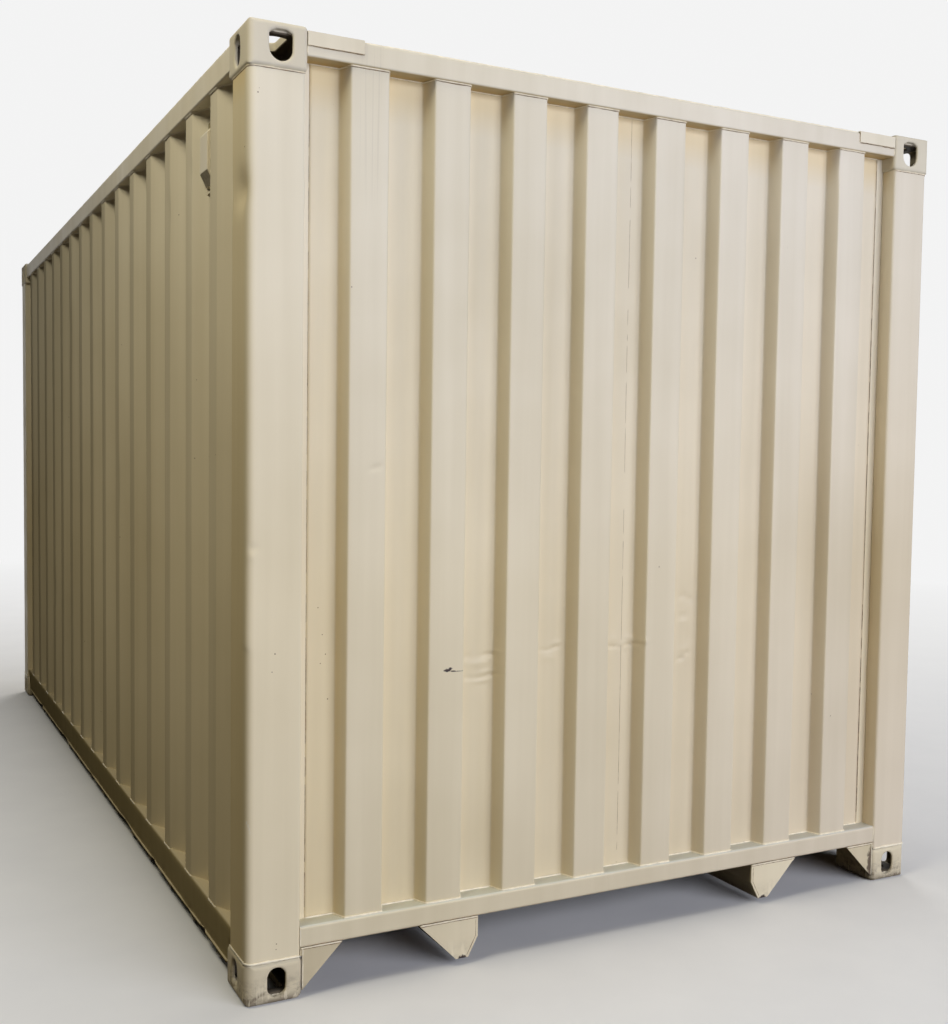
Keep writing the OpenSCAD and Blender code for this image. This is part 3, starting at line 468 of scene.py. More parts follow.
def spaced(line, step):
    """The same line with no stretch longer than a step."""
    out = [line[0]]
    for a, b in zip(line, line[1:]):
        count = max(1, math.ceil((b - a).length / step))
        out += [a.lerp(b, (k + 1) / count) for k in range(count)]
    return out


def evenly(low, high, count):
    """Values from low to high with so many even steps."""
    return [low + (high - low) * k / count for k in range(count + 1)]


def levels(low, high, step, fine=()):
    """Heights from low to high, closer together in the fine stretches."""
    stops = evenly(low, high, round((high - low) / step))
    for a, b, close in fine:
        stops += evenly(a, b, round((b - a) / close))
    # A row close to each end keeps the rim from shading the stretch beside it
    stops = sorted(stops + [low + 1.5 * MM, high - 1.5 * MM])
    return [s for k, s in enumerate(stops) if k == 0 or s - stops[k - 1] > 0.4 * MM]


def piece(name, verts, faces, material, replaces=(), smooth=True):
    mesh = bpy.data.meshes.new(name)
    mesh.from_pydata([tuple(v) for v in verts], [], faces)
    mesh.validate()
    mesh.materials.append(material)
    if smooth:
        mesh.polygons.foreach_set("use_smooth", [True] * len(mesh.polygons))
    thing = placed(name, mesh)
    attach(thing, "root")
    if replaces:
        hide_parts(*replaces)
    return thing


def skin(name, rows, thick, material, replaces=(), keep=None):
    """A sheet through rows of points, with its thickness behind the side that it shows."""
    count = len(rows[0])
    verts = [p for row in rows for p in row]
    faces = []
    for j in range(len(rows) - 1):
        for i in range(count - 1):
            if keep is None or keep((rows[j][i] + rows[j + 1][i + 1]) / 2):
                a = j * count + i
                faces.append((a, a + 1, a + 1 + count, a + count))
    thing = piece(name, verts, faces, material, replaces)
    body = bmesh.new()
    body.from_mesh(thing.data)
    loose = [v for v in body.verts if not v.link_faces]
    bmesh.ops.delete(body, geom=loose, context="VERTS")
    body.to_mesh(thing.data)
    body.free()
    solid = thing.modifiers.new("thickness", "SOLIDIFY")
    solid.thickness = thick
    solid.offset = -1


def rib_corners(span, firsts, slope, rib, depth):
    """Corners of a ribbed sheet's section: recess floors at depth, rib faces at 0."""
    out = [Vector((0, depth))]
    for s in firsts:
        out += [Vector((s, depth)), Vector((s + slope, 0)), Vector((s + slope + rib, 0)),
                Vector((s + 2 * slope + rib, depth))]
    return out + [Vector((span, depth))]


def run(*stops, step=0.007):
    """A path through the given points with even short steps."""
    return spaced([Vector(p) for p in stops], step)


def heights(name):
    """The lowest and the highest level of a solid."""
    low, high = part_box(name)
    return low.z, high.z


def upright(x, y, low, high):
    return run((x, y, low), (x, y, high))


def across(x, opposite, y, z):
    return run((x, y, z), (opposite, y, z))


def stretches(path, kept):
    """The stretches of a path whose points pass a test."""
    out, here = [], []
    for k, p in enumerate(path):
        if kept(k, p):
            here.append(p)
        else:
            out.append(here)
            here = []
    return [part for part in out + [here] if len(part) > 2]


def dashes(path, gaps, seed):
    """The stretches of a path that are left when about so much of it is taken out."""
    return stretches(path, lambda k, p: wave(k * 0.17, seed, 7.7) > gaps)


def beads(name, paths, radius, material, rough=0.3, sides=6):
    """Lumpy lines of weld, or thin dark cracks, as one mesh along several paths."""
    verts, faces = [], []
    for n, path in enumerate(paths):
        base, rings = len(verts), len(path)
        for k, p in enumerate(path):
            along = (path[min(k + 1, rings - 1)] - path[max(k - 1, 0)]).normalized()
            up = Vector((0, 0, 1)) if abs(along.z) < 0.8 else Vector((0, 1, 0))
            side = along.cross(up).normalized()
            over = side.cross(along)
            r = radius * (1 + rough * wave(k * 0.9, n * 3.1, 0.3) + 0.6 * rough * wave(k * 0.31, n, 5.3))
            if k in (0, rings - 1):
                r *= BEAD_TIP
            for m in range(sides):
                turn = 2 * math.pi * m / sides
                v = p + r * (math.cos(turn) * side + math.sin(turn) * over)
                v.x = max(-HALF_W, min(HALF_W, v.x))
                v.y = max(FRONT, min(REAR, v.y))
                v.z = min(TOP, v.z)
                verts.append(v)
        for k in range(rings - 1):
            for m in range(sides):
                a, b = base + k * sides + m, base + k * sides + (m + 1) % sides
                faces.append((a, b, b + sides, a + sides))
        last = base + (rings - 1) * sides
        faces += [tuple(range(base, base + sides))[::-1], tuple(range(last, last + sides))]
    piece(name, verts, faces, material)


# Dents of the front sheet: place from the left face, height, half width and half height in
# metres, depth in shares of the unit below, and slope along X
DENT_DEPTH = 1.25 * MM
DENTS_LOW, DENTS_HIGH = 0.76, 1.64
DENTS = [
    (0.763, 0.899, 0.013, 0.0060, 3.6, 0.10), (0.776, 0.905, 0.006, 0.009, -3.0, 0),
    (0.745, 0.896, 0.012, 0.0080, 1.6, 0.05), (0.683, 0.895, 0.006, 0.009, 2.2, 0),
    (0.722, 0.872, 0.030, 0.012, -2.2, 0.05), (0.742, 0.846, 0.022, 0.007, -1.8, 0.1),
    (0.765, 0.838, 0.013, 0.0060, 3.4, 0.20), (0.742, 0.831, 0.014, 0.0060, 2.4, 0.14),
    (0.718, 0.829, 0.012, 0.0070, 1.5, -0.1), (0.687, 0.832, 0.0055, 0.0075, 4.4, 0),
    (0.735, 0.808, 0.020, 0.009, 1.2, 0.1), (0.735, 0.820, 0.024, 0.007, -1.6, 0.1),
    (0.984, 0.903, 0.014, 0.0055, 3.8, 0.32), (0.962, 0.896, 0.010, 0.0055, 2.0, 0.15),
    (0.943, 0.899, 0.005, 0.006, 2.6, 0), (0.965, 0.872, 0.020, 0.012, -1.2, 0),
    (1.026, 0.914, 0.006, 0.012, -2.4, 0), (0.992, 0.918, 0.016, 0.008, -1.6, 0.2),
    (1.193, 0.893, 0.010, 0.0055, 5.4, 0), (1.196, 0.915, 0.012, 0.012, -1.8, 0.2),
    (1.222, 0.890, 0.007, 0.005, 1.8, 0), (1.259, 0.897, 0.010, 0.0055, 4.4, 0.15),
    (1.278, 0.900, 0.007, 0.0055, 5.0, 0.25), (1.288, 0.909, 0.005, 0.010, -3.4, 0),
    (1.240, 0.873, 0.0045, 0.009, 3.4, 0.3), (1.262, 0.918, 0.018, 0.011, -2.0, 0),
    (1.309, 0.900, 0.005, 0.008, 1.0, 0), (1.236, 0.901, 0.004, 0.010, -1.8, 0),
    (1.462, 1.041, 0.013, 0.010, 3.0, 0.15), (1.492, 1.029, 0.012, 0.010, 2.8, -0.2),
    (1.463, 0.976, 0.013, 0.009, 3.0, 0.1), (1.476, 0.955, 0.016, 0.014, -1.2, 0),
    (1.461, 0.838, 0.008, 0.0070, 5.4, 0.5), (1.484, 0.855, 0.010, 0.008, 2.4, 0.5),
    (1.470, 0.868, 0.016, 0.012, -1.4, 0.3), (1.490, 0.905, 0.014, 0.02, 1.0, 0),
    (0.372, 1.444, 0.016, 0.008, 2.0, 0.3), (0.229, 1.571, 0.009, 0.014, 2.2, 0),
]
# A shallow kink in the last recess, measured in the same way
KINK_X, KINK_Z, KINK_WIDE, KINK_HIGH, KINK_DEPTH = 2.040, 2.440, 0.016, 0.05, 0.004


def front_push(x, z):
    """How far the front sheet stands behind its even form, in metres."""
    from_left = x + HALF_W
    out = 0.0009 * wave(x * 2.6, z * 0.9, 1.0) + 0.0005 * wave(x * 9, z * 1.6, 4.0)
    if DENTS_LOW < z < DENTS_HIGH:
        for cx, cz, wx, wz, depth, tilt in DENTS:
            aside = from_left - cx
            if abs(aside) < 3 * wx and abs(z - cz) < 4 * wz:
                out += depth * DENT_DEPTH * hump(aside, wx) * hump(z - cz - tilt * aside, wz)
    return out + KINK_DEPTH * hump(from_left - KINK_X, KINK_WIDE) * hump(z - KINK_Z, KINK_HIGH)


def front_line():
    low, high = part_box("front_wall")
    span, depth = high.x - low.x, high.y - low.y - FRONT_T
    rib = FRONT_RIB + 2 * FRONT_SLOPE
    count = int((span - rib) / FRONT_PITCH) + 1
    first = (span - (count - 1) * FRONT_PITCH - rib) / 2
    corners = rib_corners(span, [first + i * FRONT_PITCH for i in range(count)],
                          FRONT_SLOPE, FRONT_RIB, depth)
    line = rounded(corners, [FRONT_BEND] * (len(corners) - 2), 3)
    return [Vector((low.x + p.x, low.y + p.y)) for p in line]


def make_front_sheet():
    low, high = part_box("front_wall")
    line = spaced(front_line(), 0.011)
    # Closer rows where the dents and the kink are
    fine = [(0.80, 0.93, 0.004), (0.93, 1.06, 0.009), (1.41, 1.48, 0.007), (2.36, 2.5, 0.02)]
    rows = []
    for z in levels(low.z, high.z, 0.04, fine):
        rows.append([Vector((p.x, p.y + front_push(p.x, z), z)) for p in line])
    skin("front_sheet", rows, FRONT_T, front_paint, ["front_wall"])


def side_line():
    """The side sheet's section as (distance from the front end, distance in from its rib faces)."""
    low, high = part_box("left_wall")
    span = high.y - low.y
    first = FRONT + SIDE_FIRST - low.y
    rib = SIDE_RIB + 2 * SIDE_SLOPE
    count = int((span - first - rib) / SIDE_PITCH) + 1
    corners = rib_corners(span, [first + i * SIDE_PITCH for i in range(count)],
                          SIDE_SLOPE, SIDE_RIB, high.x - low.x - SIDE_T)
    return rounded(corners, [SIDE_BEND] * (len(corners) - 2), 3)


# Knocks on the left side's ribs: distance from the front end, height, half length and half
# height in metres, and depth in millimetres
KNOCKS = [(0.640, 2.335, 0.020, 0.05, 4.0), (0.915, 2.255, 0.022, 0.06, 4.0),
          (1.750, 1.35, 0.03, 0.10, 3.0), (2.880, 2.05, 0.03, 0.08, 4.0), (3.42, 0.75, 0.04, 0.07, 4.0)]


def make_side_sheets():
    line = spaced(side_line(), 0.024)
    for side, name in ((-1, "left"), (1, "right")):
        low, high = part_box(name + "_wall")
        face = max(abs(low.x), abs(high.x))
        rows = []
        for z in levels(low.z, high.z, 0.055, [(2.2, 2.42, 0.02)] if side < 0 else []):
            row = []
            for p in line:
                push = 0.0014 * wave(p.x * 1.7, z * 0.8, 8.0 + side)
                push += 0.0006 * wave(p.x * 7, z * 1.3, 3.0)
                if side < 0:
                    for cy, cz, wy, wz, depth in KNOCKS:
                        push += depth * MM * hump(low.y - FRONT + p.x - cy, wy) * hump(z - cz, wz)
                row.append(Vector((side * (face - p.y - push), low.y + p.x, z)))
            rows.append(row if side > 0 else row[::-1])
        skin(name + "_sheet", rows, SIDE_T, side_paint, [name + "_wall"])


def post_corner(sx, sy, u, v, z):
    """A point u in from the side face and v in from the end face."""
    return Vector((sx * (HALF_W - u), sy * (REAR - v), z))


# Wear of the left front post's bent edge, in metres: it swells between two heights and steps
# back at the lower one, and has small knocks with a height, half sizes and a depth
SWELL_LOW, SWELL_HIGH, SWELL_FADE = 0.972, 1.30, 0.30
SWELL_OUT, SWELL_WIDE, SWELL_STEP = 0.0028, 0.030, 0.008
EDGE_KNOCKS = [(1.232, 0.012, 0.014, 0.0024), (1.208, 0.009, 0.013, -0.0012)]
EDGE_KNOCK_IN = 0.018
# One dent in the side of each front post: height, reach up, reach down, place in from the end,
# half width and depth
POST_DENTS = {-1: (2.165, 0.050, 0.044, 0.075, 0.050, 0.0140),
              1: (0.74, 0.05, 0.05, 0.06, 0.03, 0.004)}


def edge_wear(u, v, z, away):
    """Where a point of the left post, u in from its side and v in from its end, comes to lie."""
    swell = hump(z - SWELL_LOW, SWELL_STEP)
    if z > SWELL_LOW:
        swell = max(0.0, min(1.0, (SWELL_HIGH - z) / SWELL_FADE))
    u -= SWELL_OUT * swell * hump(away, SWELL_WIDE)
    for height, high, wide, depth in EDGE_KNOCKS:
        v += depth * hump(z - height, high) * hump(u - EDGE_KNOCK_IN, wide)
    return u, v


def post_dent(sx, v, z):
    """How far a front post's side is pushed in at a height and a distance from its end."""
    height, up, down, place, wide, depth = POST_DENTS[sx]
    return depth * hump(z - height, up if z > height else down) * hump(v - place, wide)


def make_front_posts():
    """Folded posts with their knocks."""
    back = POST_INSET
    front_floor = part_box("front_wall")[1].y - FRONT - FRONT_T
    side_floor = HALF_W - abs(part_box("left_wall")[1].x) - SIDE_T
    corners = [Vector(p) for p in (
        (POST_W, front_floor - FLANGE_PROUD + POST_T), (POST_W, back), (back, back), (back, POST_W),
        (side_floor - FLANGE_PROUD + POST_T, POST_W))]
    line = spaced(rounded(corners, [9 * MM, POST_BEND, 12 * MM], 6), 0.012)
    fine = [(0.93, 1.28, 0.007), (2.08, 2.30, 0.015)]
    for sx, name in ((-1, "left"), (1, "right")):
        rows = []
        for z in levels(FIT_H, TOP - FIT_H, 0.030, fine):
            row = []
            for p in line:
                u, v = p
                away = math.hypot(u - back, v - back)
                u += 0.0006 * wave(z * 1.3, v * 3, 2.0 + sx)
                v += 0.0008 * wave(z * 1.1, u * 4, 6.0 + sx)
                if sx < 0:
                    u, v = edge_wear(u, v, z, away)
                row.append(post_corner(sx, -1, u + post_dent(sx, v, z), v, z))
            rows.append(row if sx > 0 else row[::-1])
        skin("front_post_" + name, rows, POST_T, post_paint, ["post_front_" + name])
        make_post_flanges(sx, name, front_floor - FLANGE_PROUD, side_floor - FLANGE_PROUD)


def make_post_flanges(sx, name, from_front, from_side):
    """The flanges of a front post, which the front sheet and the side sheet are welded to."""
    low, high = heights("front_wall")
    edge = HALF_W - POST_W
    block("front_flange_" + name, (sx * edge, FRONT + from_front, low),
          (sx * (edge - FLANGE), FRONT + from_front + POST_T, high), cream, 0.5 * MM)
    low, high = heights("left_wall")
    edge = FRONT + POST_W
    block("side_flange_" + name, (sx * (HALF_W - from_side), edge, low),
          (sx * (HALF_W - from_side - POST_T), edge + FLANGE, high), cream, 0.5 * MM)


def block(name, corner, opposite, material, soft):
    """A box between two corners, with softened edges."""
    a = [min(p, q) for p, q in zip(corner, opposite)]
    b = [max(p, q) for p, q in zip(corner, opposite)]
    verts = [(x, y, z) for z in (a[2], b[2]) for y in (a[1], b[1]) for x in (a[0], b[0])]
    faces = [(0, 2, 3, 1), (4, 5, 7, 6), (0, 1, 5, 4), (2, 6, 7, 3), (0, 4, 6, 2), (1, 3, 7, 5)]
    soften(piece(name, verts, faces, material, smooth=False), soft)


def soften(thing, width, segments=2):
    """Rounds the sharp edges of a piece."""
    bevel = thing.modifiers.new("edges", "BEVEL")
    bevel.width = width
    bevel.segments = segments
    bevel.limit_method = "ANGLE"
    bevel.angle_limit = math.radians(35)


FITTINGS = [f"fitting_{end}_{side}_{level}" for end in ("front", "rear")
            for side in ("left", "right") for level in ("top", "base")]


def ease_cavities(cast):
    """Rounds every edge of a copied solid, holes and inner walls too."""
    fine = cast.modifiers.new("fine", "REMESH")
    fine.mode = "VOXEL"
    fine.voxel_size = CAST_VOXEL
    ease = cast.modifiers.new("ease", "SMOOTH")
    ease.factor = 0.5
    ease.iterations = 7
    thin = cast.modifiers.new("thin", "DECIMATE")
    thin.ratio = 0.35
    result = cast.evaluated_get(bpy.context.evaluated_depsgraph_get())
    made = bpy.data.meshes.new_from_object(result)
    cast.modifiers.clear()
    cast.data = made


def round_casting(vertices, low, high, edge, bend):
    """Rounds the outer upright corner by one radius and the other outer edges by another."""
    soft = Vector((edge, edge, edge))
    for v in vertices:
        corner = Vector((HALF_W - bend - abs(v.co.x), REAR - bend - abs(v.co.y)))
        if corner.x < 0 and corner.y < 0 and corner.length > bend:
            corner *= bend / corner.length
            v.co.x = math.copysign(HALF_W - bend - corner.x, v.co.x)
            v.co.y = math.copysign(REAR - bend - corner.y, v.co.y)
        core = Vector(max(a, min(b, c)) for a, b, c in zip(low + soft, high - soft, v.co))
        over = v.co - core
        if over.length > edge:
            v.co = core + over * (edge / over.length)


def make_fittings():
    """Cast fittings: the solids with every edge rounded as a casting's are."""
    for name in FITTINGS:
        cast = placed(name + "_cast", frame["nodes"][name].data.copy())
        ease_cavities(cast)
        low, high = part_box(name)
        if name.endswith("base"):
            round_casting(cast.data.vertices, low, high, BASE_CAST_EDGE, BASE_CAST_BEND)
        else:
            round_casting(cast.data.vertices, low, high, TOP_CAST_EDGE, TOP_CAST_BEND)
        cast.data.materials.clear()
        cast.data.materials.append(fitting_paint)
        cast.data.polygons.foreach_set("use_smooth", [True] * len(cast.data.polygons))
        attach(cast, "root")
        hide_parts(name)


def eased(x):
    """A step from 0 to 1, about half smooth and half straight."""
    x = max(0.0, min(1.0, x))
    return x * x * (3 - 2 * x) * 0.55 + x * 0.45


def make_roof():
    """A roof sheet with pressed cross troughs that sags a little in the middle."""
    low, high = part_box("roof_panel")
    top = high.z
    reach = HALF_W - TROUGH_IN
    count = int((2 * REAR - 2 * FIT_L - TROUGH_FLOOR) / ROOF_PITCH)
    start = -(count - 1) * ROOF_PITCH / 2
    half = TROUGH_FLOOR / 2
    ys = {low.y, high.y, FRONT + FIT_L, REAR - FIT_L, low.y + 0.05, low.y + 0.11, low.y + 0.24}
    for i in range(count):
        middle = start + i * ROOF_PITCH
        for off in (0.0, 0.025, half - 0.005, half, half + 0.005, half + TROUGH_SLOPE - 0.005,
                    half + TROUGH_SLOPE, half + TROUGH_SLOPE + 0.005, half + 0.035):
            ys |= {round(middle - off, 5), round(middle + off, 5)}
    xs = {0.0, HALF_W - FIT_W, high.x}
    for off in (0.0, 0.008, TROUGH_RUN / 2, TROUGH_RUN - 0.008, TROUGH_RUN, -0.02, 0.08, 0.14):
        xs.add(reach - off)
    xs |= set(evenly(0, 0.8 * reach, 8))
    xs = sorted(xs | {-x for x in xs})

    rows = []
    for y in sorted(ys):
        off = min(abs(y - start - i * ROOF_PITCH) for i in range(count))
        dip_y = eased((half + TROUGH_SLOPE - off) / TROUGH_SLOPE)
        row = []
        for x in xs:
            dip_x = eased((reach - abs(x)) / TROUGH_RUN)
            edge = min(1.0, (high.x - abs(x)) / ROOF_STIFF)
            edge *= min(1.0, (high.y - y) / ROOF_STIFF, (y - low.y) / ROOF_STIFF)
            sag = ROOF_SAG * max(0.0, edge) * (0.5 + wave(x * 1.1, y * 0.9, 9.0))
            row.append(Vector((x, y, top - TROUGH_DEPTH * min(dip_y, dip_x) - sag)))
        rows.append(row)

    def clear(p):
        return abs(p.x) < HALF_W - FIT_W or FRONT + FIT_L < p.y < REAR - FIT_L

    skin("roof_sheet", rows, ROOF_T, cream, ["roof_panel"], clear)


def corner_rim(sx, sy, z, end_reach):
    """A level path round a corner post's outside, back from the fitting's faces."""
    back = POST_INSET
    line = rounded([Vector((end_reach, back)), Vector((back, back)), Vector((back, POST_W))], [POST_BEND])
    return [post_corner(sx, sy, p.x, p.y, z) for p in spaced(line, 0.007)]


def front_weld_line(z):
    """The front sheet's face at one height, a little in front of it."""
    return [Vector((p.x, p.y - 0.0012, z)) for p in spaced(front_line(), 0.008)]


def make_sheet_welds():
    """Beads along the feet and the heads of the front sheet and the side sheets."""
    low, high = heights("front_wall")
    beads("weld_front_foot", [front_weld_line(low + 0.001)], FOOT_WELD, weld_paint)
    beads("weld_front_head", [front_weld_line(high - 0.001)], HEAD_WELD, weld_paint)
    low, high = heights("left_wall")
    line = spaced(side_line(), 0.010)
    y0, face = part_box("left_wall")[0].y, abs(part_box("left_wall")[0].x)
    for s, name in ((-1, "left"), (1, "right")):
        paths = [[Vector((s * (face - p.y + 0.001), y0 + p.x, z)) for p in line]
                 for z in (low + 0.001, high - 0.001)]
        beads("weld_side_" + name, paths, SIDE_WELD, weld_paint)


def make_fitting_welds():
    """Beads where the posts meet their fittings, heavy at the base and thin at the top."""
    for name, z, size in (("base", FIT_H + 0.0005, BASE_FITTING_WELD),
                          ("top", TOP - FIT_H - 0.0005, TOP_FITTING_WELD)):
        rims = [corner_rim(sx, sy, z, end_reach) for sx in (-1, 1)
                for sy, end_reach in ((-1, POST_W), (1, REAR_POST_END))]
        beads("weld_fittings_" + name, rims, size, weld_paint, 0.5)


def lap_crack(s, x, y):
    """The uneven crack below a lap plate on the header."""
    line = across(s * x, s * (x - LAP_L), y, LAP_Z - 0.002)
    for p in line:
        p.z += 0.0026 * wave(p.x * 19, 0, 1) + 0.0016 * wave(p.x * 60, 0, 2)
    return line


def make_front_welds():
    """Beads round the sill, gussets and tunnel plates, and the rusty cracks beside them."""
    face = FRONT + END_INSET
    sill_low, sill_high = heights("front_sill")
    head_low, foot = heights("front_header")[0], heights("tunnel_plates")[0]
    post_x, fit_x = HALF_W - POST_W, HALF_W - FIT_W
    gusset_x = fit_x - GUSSET_W
    tunnel_x, plate_x = abs(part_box("tunnel")[1].x) - TUNNEL_LIP, abs(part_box("tunnel_plates")[1].x)
    inner = tunnel_x + 0.007
    front, cracks = [], []
    for s in (-1, 1):
        front += [upright(s * post_x, face, sill_low + 0.004, sill_high - 0.003),
                  upright(s * (fit_x - 0.001), face - 0.001, foot + 0.004, sill_low),
                  across(s * post_x, s * gusset_x, face, sill_low),
                  across(s * tunnel_x, s * plate_x, face, sill_low),
                  upright(s * fit_x, face, head_low + 0.004, LAP_Z - 0.003)]
        for up in (-0.0035, 0.0035):
            cracks += [across(s * post_x, s * gusset_x, face, sill_low + up),
                       across(s * tunnel_x, s * plate_x, face, sill_low + up)]
        cracks += [run((s * inner, face, sill_low - 0.008), (s * inner, face, FLARE_Z + 0.002),
                       (s * (inner + 0.029), face, foot + 0.006)),
                   lap_crack(s, fit_x, face - 0.003),
                   upright(s * (fit_x - LAP_L), face - 0.002, LAP_Z, LAP_TOP)]
        rim = corner_rim(s, -1, TOP - FIT_H - 0.0035, POST_W)
        cracks.append([p - Vector((0, 0.0005, 0)) for p in rim])
    rib_face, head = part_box("front_wall")[0].y, heights("front_wall")[1]
    below = [Vector((p.x, p.y + 0.0009, p.z + 0.001 * wave(p.x * 30, 0, 3)))
             for p in front_weld_line(head - 0.0040)]
    cracks += stretches(below, lambda k, p: p.y < rib_face + 0.003)
    beads("weld_front", front, SILL_WELD, weld_paint, 0.5)
    beads("rust_lines_front", cracks, CRACK, rust_line, 0.7)


def make_seams():
    """Dark seams at the posts' flanges, and the lap of the front sheet's two halves."""
    low, high = heights("front_wall")
    seam_x = HALF_W - POST_W - FLANGE - 0.0008
    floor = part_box("front_wall")[1].y - FRONT_T - 0.0004
    bold, fine = [], []
    for s in (-1, 1):
        rise = [Vector((s * seam_x + 0.0008 * wave(z * 14, s, 4), floor, z))
                for z in levels(low + 0.004, high - 0.003, 0.007)]
        bold += dashes([p for p in rise if p.z < SEAM_BOLD_Z], -0.42, s)
        fine += dashes([p for p in rise if p.z >= SEAM_BOLD_Z], -0.34, s)
    wall_low, wall_high = heights("left_wall")
    side_floor = abs(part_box("left_wall")[1].x) + SIDE_T
    seam_y = FRONT + POST_W + FLANGE + 0.0008
    fine += [upright(s * side_floor, y, wall_low + 0.004, wall_high - 0.004)
             for s in (-1, 1) for y in (seam_y, -seam_y)]
    lap = SHEET_SEAM - HALF_W
    sheets = dashes([Vector((lap + 0.002 * wave(z * 1.5, 0, 2), floor + front_push(lap, z) + 0.0004, z))
                     for z in levels(low + 0.004, high - 0.004, 0.007)], -0.36, 5)
    beads("seams_bold", bold, BOLD_SEAM, dark_gap, 0.5)
    beads("seams_fine", fine, FINE_SEAM, dark_gap, 0.6)
    beads("seam_sheets", sheets, LAP_SEAM, rust_line, 0.6)


def make_roof_welds():
    """Beads round the roof sheet."""
    low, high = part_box("roof_panel")
    side, end, z = high.x + 0.001, HALF_W - FIT_W - LAP_L, high.z - 0.001
    roof = [run((s * side, FRONT + FIT_L, z), (s * side, REAR - FIT_L, z), step=0.012) for s in (-1, 1)]
    roof += [run((-end, y, z), (end, y, z), step=0.012) for y in (low.y - 0.001, high.y + 0.001)]
    beads("weld_roof", roof, ROOF_WELD, weld_paint)


# Knocks on the base rails' outer flanges, in metres: distance from the front end, half length,
# how far in and how far up
LIP_KNOCKS = [(0.46, 0.020, 0.006, 0.003), (0.66, 0.06, 0.004, -0.004), (1.12, 0.03, 0.005, 0.002),
              (1.60, 0.10, 0.004, 0.004), (2.35, 0.05, 0.006, -0.003), (3.10, 0.12, 0.005, 0.003),
              (3.90, 0.04, 0.006, 0.004)]


def make_base_rails():
    """Pressed rails whose outer flanges are bent and wavy from use."""
    low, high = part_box("right_base_rail")
    web = HALF_W - RAIL_INSET
    lip_z = low.z + RAIL_T
    corners = [Vector(p) for p in ((low.x, high.z), (web, high.z), (web - 0.004, lip_z), (high.x, lip_z))]
    line = spaced(rounded(corners, [0.005, 0.006], 4), 0.019)
    reach, cut = REAR - FIT_L, REAR - FIT_L - RAIL_NOTCH
    for s, name in ((-1, "left"), (1, "right")):
        rows = []
        for y in sorted({low.y, -reach, reach, high.y, *evenly(-cut, cut, 170)}):
            row = []
            for p in line:
                x, z = p
                loose = max(0.0, (x - web + 0.003) / (high.x - web + 0.003)) if z < lip_z + 0.02 else 0.0
                inward = 0.0015 + 0.0015 * wave(y * 2.2, s, 1.0) + 0.0008 * wave(y * 13, s, 2.0)
                upward = 0.0022 * wave(y * 1.9, s, 6.0) + 0.0010 * wave(y * 11, s, 4.0)
                for at, long, push, lift in LIP_KNOCKS:
                    near = hump(y - FRONT - at, long)
                    inward += push * near
                    upward += lift * near
                x -= loose * max(0.0, inward)
                z += loose * upward
                row.append(Vector((s * x, y, z)))
            rows.append(row if s < 0 else row[::-1])

        def kept(p):
            if abs(p.y) > reach:
                return p.z > FIT_H
            return abs(p.y) < cut or abs(p.x) < web - 0.001 or p.z > lip_z + 0.012

        skin("base_rail_" + name, rows, RAIL_T, rail_shaded_paint, [name + "_base_rail"], kept)


def make_hood(s, name, back, middle, low, high):
    """A pressed hood with a foot, a clip, and a mouth that faces down and out, filled by a dark plate as
    painted shade.
    """
    out, tall = high.x - back, high.z - low.z
    outline = [(0, VENT_LOW), (0, tall), (out - 0.010, tall - 0.002), (out, tall - 0.014),
               (out, VENT_MOUTH), (VENT_THROAT, VENT_LOW)]
    count = len(outline)
    verts = [(s * (back + u), middle + y, low.z + w) for y in (-VENT_HALF, VENT_HALF) for u, w in outline]
    faces = [tuple(range(count)), tuple(range(2 * count - 1, count - 1, -1))]
    faces += [(k, k + count, (k + 1) % count + count, (k + 1) % count) for k in range(count)]
    if s > 0:
        faces = [f[::-1] for f in faces]
    hood = piece("hood_" + name, verts, faces, cream, smooth=False)
    soften(hood, 0.0035, 3)
    # A thin dark plate in the mouth is painted shade for the hood's dark inside
    inset, proud = 0.003, 0.0010
    slope = ((out - 0.001, VENT_MOUTH - 0.001), (VENT_THROAT + 0.002, VENT_LOW + 0.002))
    verts = [(s * (back + u + lift), middle + y, low.z + w - lift) for lift in (-proud, proud)
             for y in (inset - VENT_HALF, VENT_HALF - inset) for u, w in slope]
    faces = [(0, 1, 3, 2), (4, 6, 7, 5), (0, 4, 5, 1), (2, 3, 7, 6), (0, 2, 6, 4), (1, 5, 7, 3)]
    piece("hood_mouth_" + name, verts, faces, vent_mouth_shade, smooth=False)
    edge = s * back
    block("hood_foot_" + name, (edge, middle - VENT_HALF, low.z - 0.009),
          (edge + s * 0.006, middle + VENT_HALF, low.z - 0.003), cream, 0.001)
    block("hood_clip_" + name, (edge, middle + VENT_HALF - 0.026, high.z + 0.008),
          (edge + s * 0.003, middle + VENT_HALF - 0.004, high.z + 0.030), rail_shaded_paint, 0.0006)
    return hood


def make_ventilators():
    """The hood on each side wall, in the second recess from the front."""
    low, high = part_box("ventilators")
    back = abs(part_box("left_wall")[1].x) + SIDE_T
    middle = (low.y + high.y) / 2
    hood = make_hood(-1, "left", back, middle, low, high)
    make_hood(1, "right", back, middle, low, high)
    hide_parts("ventilators")


def bolt_heads(name, places, radius, height, material):
    """Hexagon heads that face the rear."""
    verts, faces = [], []
    for x, y, z in places:
        base = len(verts)
        for lift, r in ((0, radius), (height * 0.75, radius), (height, radius * 0.8)):
            verts += [(x + r * math.cos(a), y + lift, z + r * math.sin(a))
                      for a in (math.pi * m / 3 for m in range(6))]
        for ring in (0, 6):
            faces += [(base + ring + m, base + ring + (m + 1) % 6, base + ring + 6 + (m + 1) % 6,
                       base + ring + 6 + m) for m in range(6)]
        faces += [tuple(base + m for m in range(6)), tuple(base + 12 + m for m in range(5, -1, -1))]
    heads = piece(name, verts, faces, material, smooth=False)


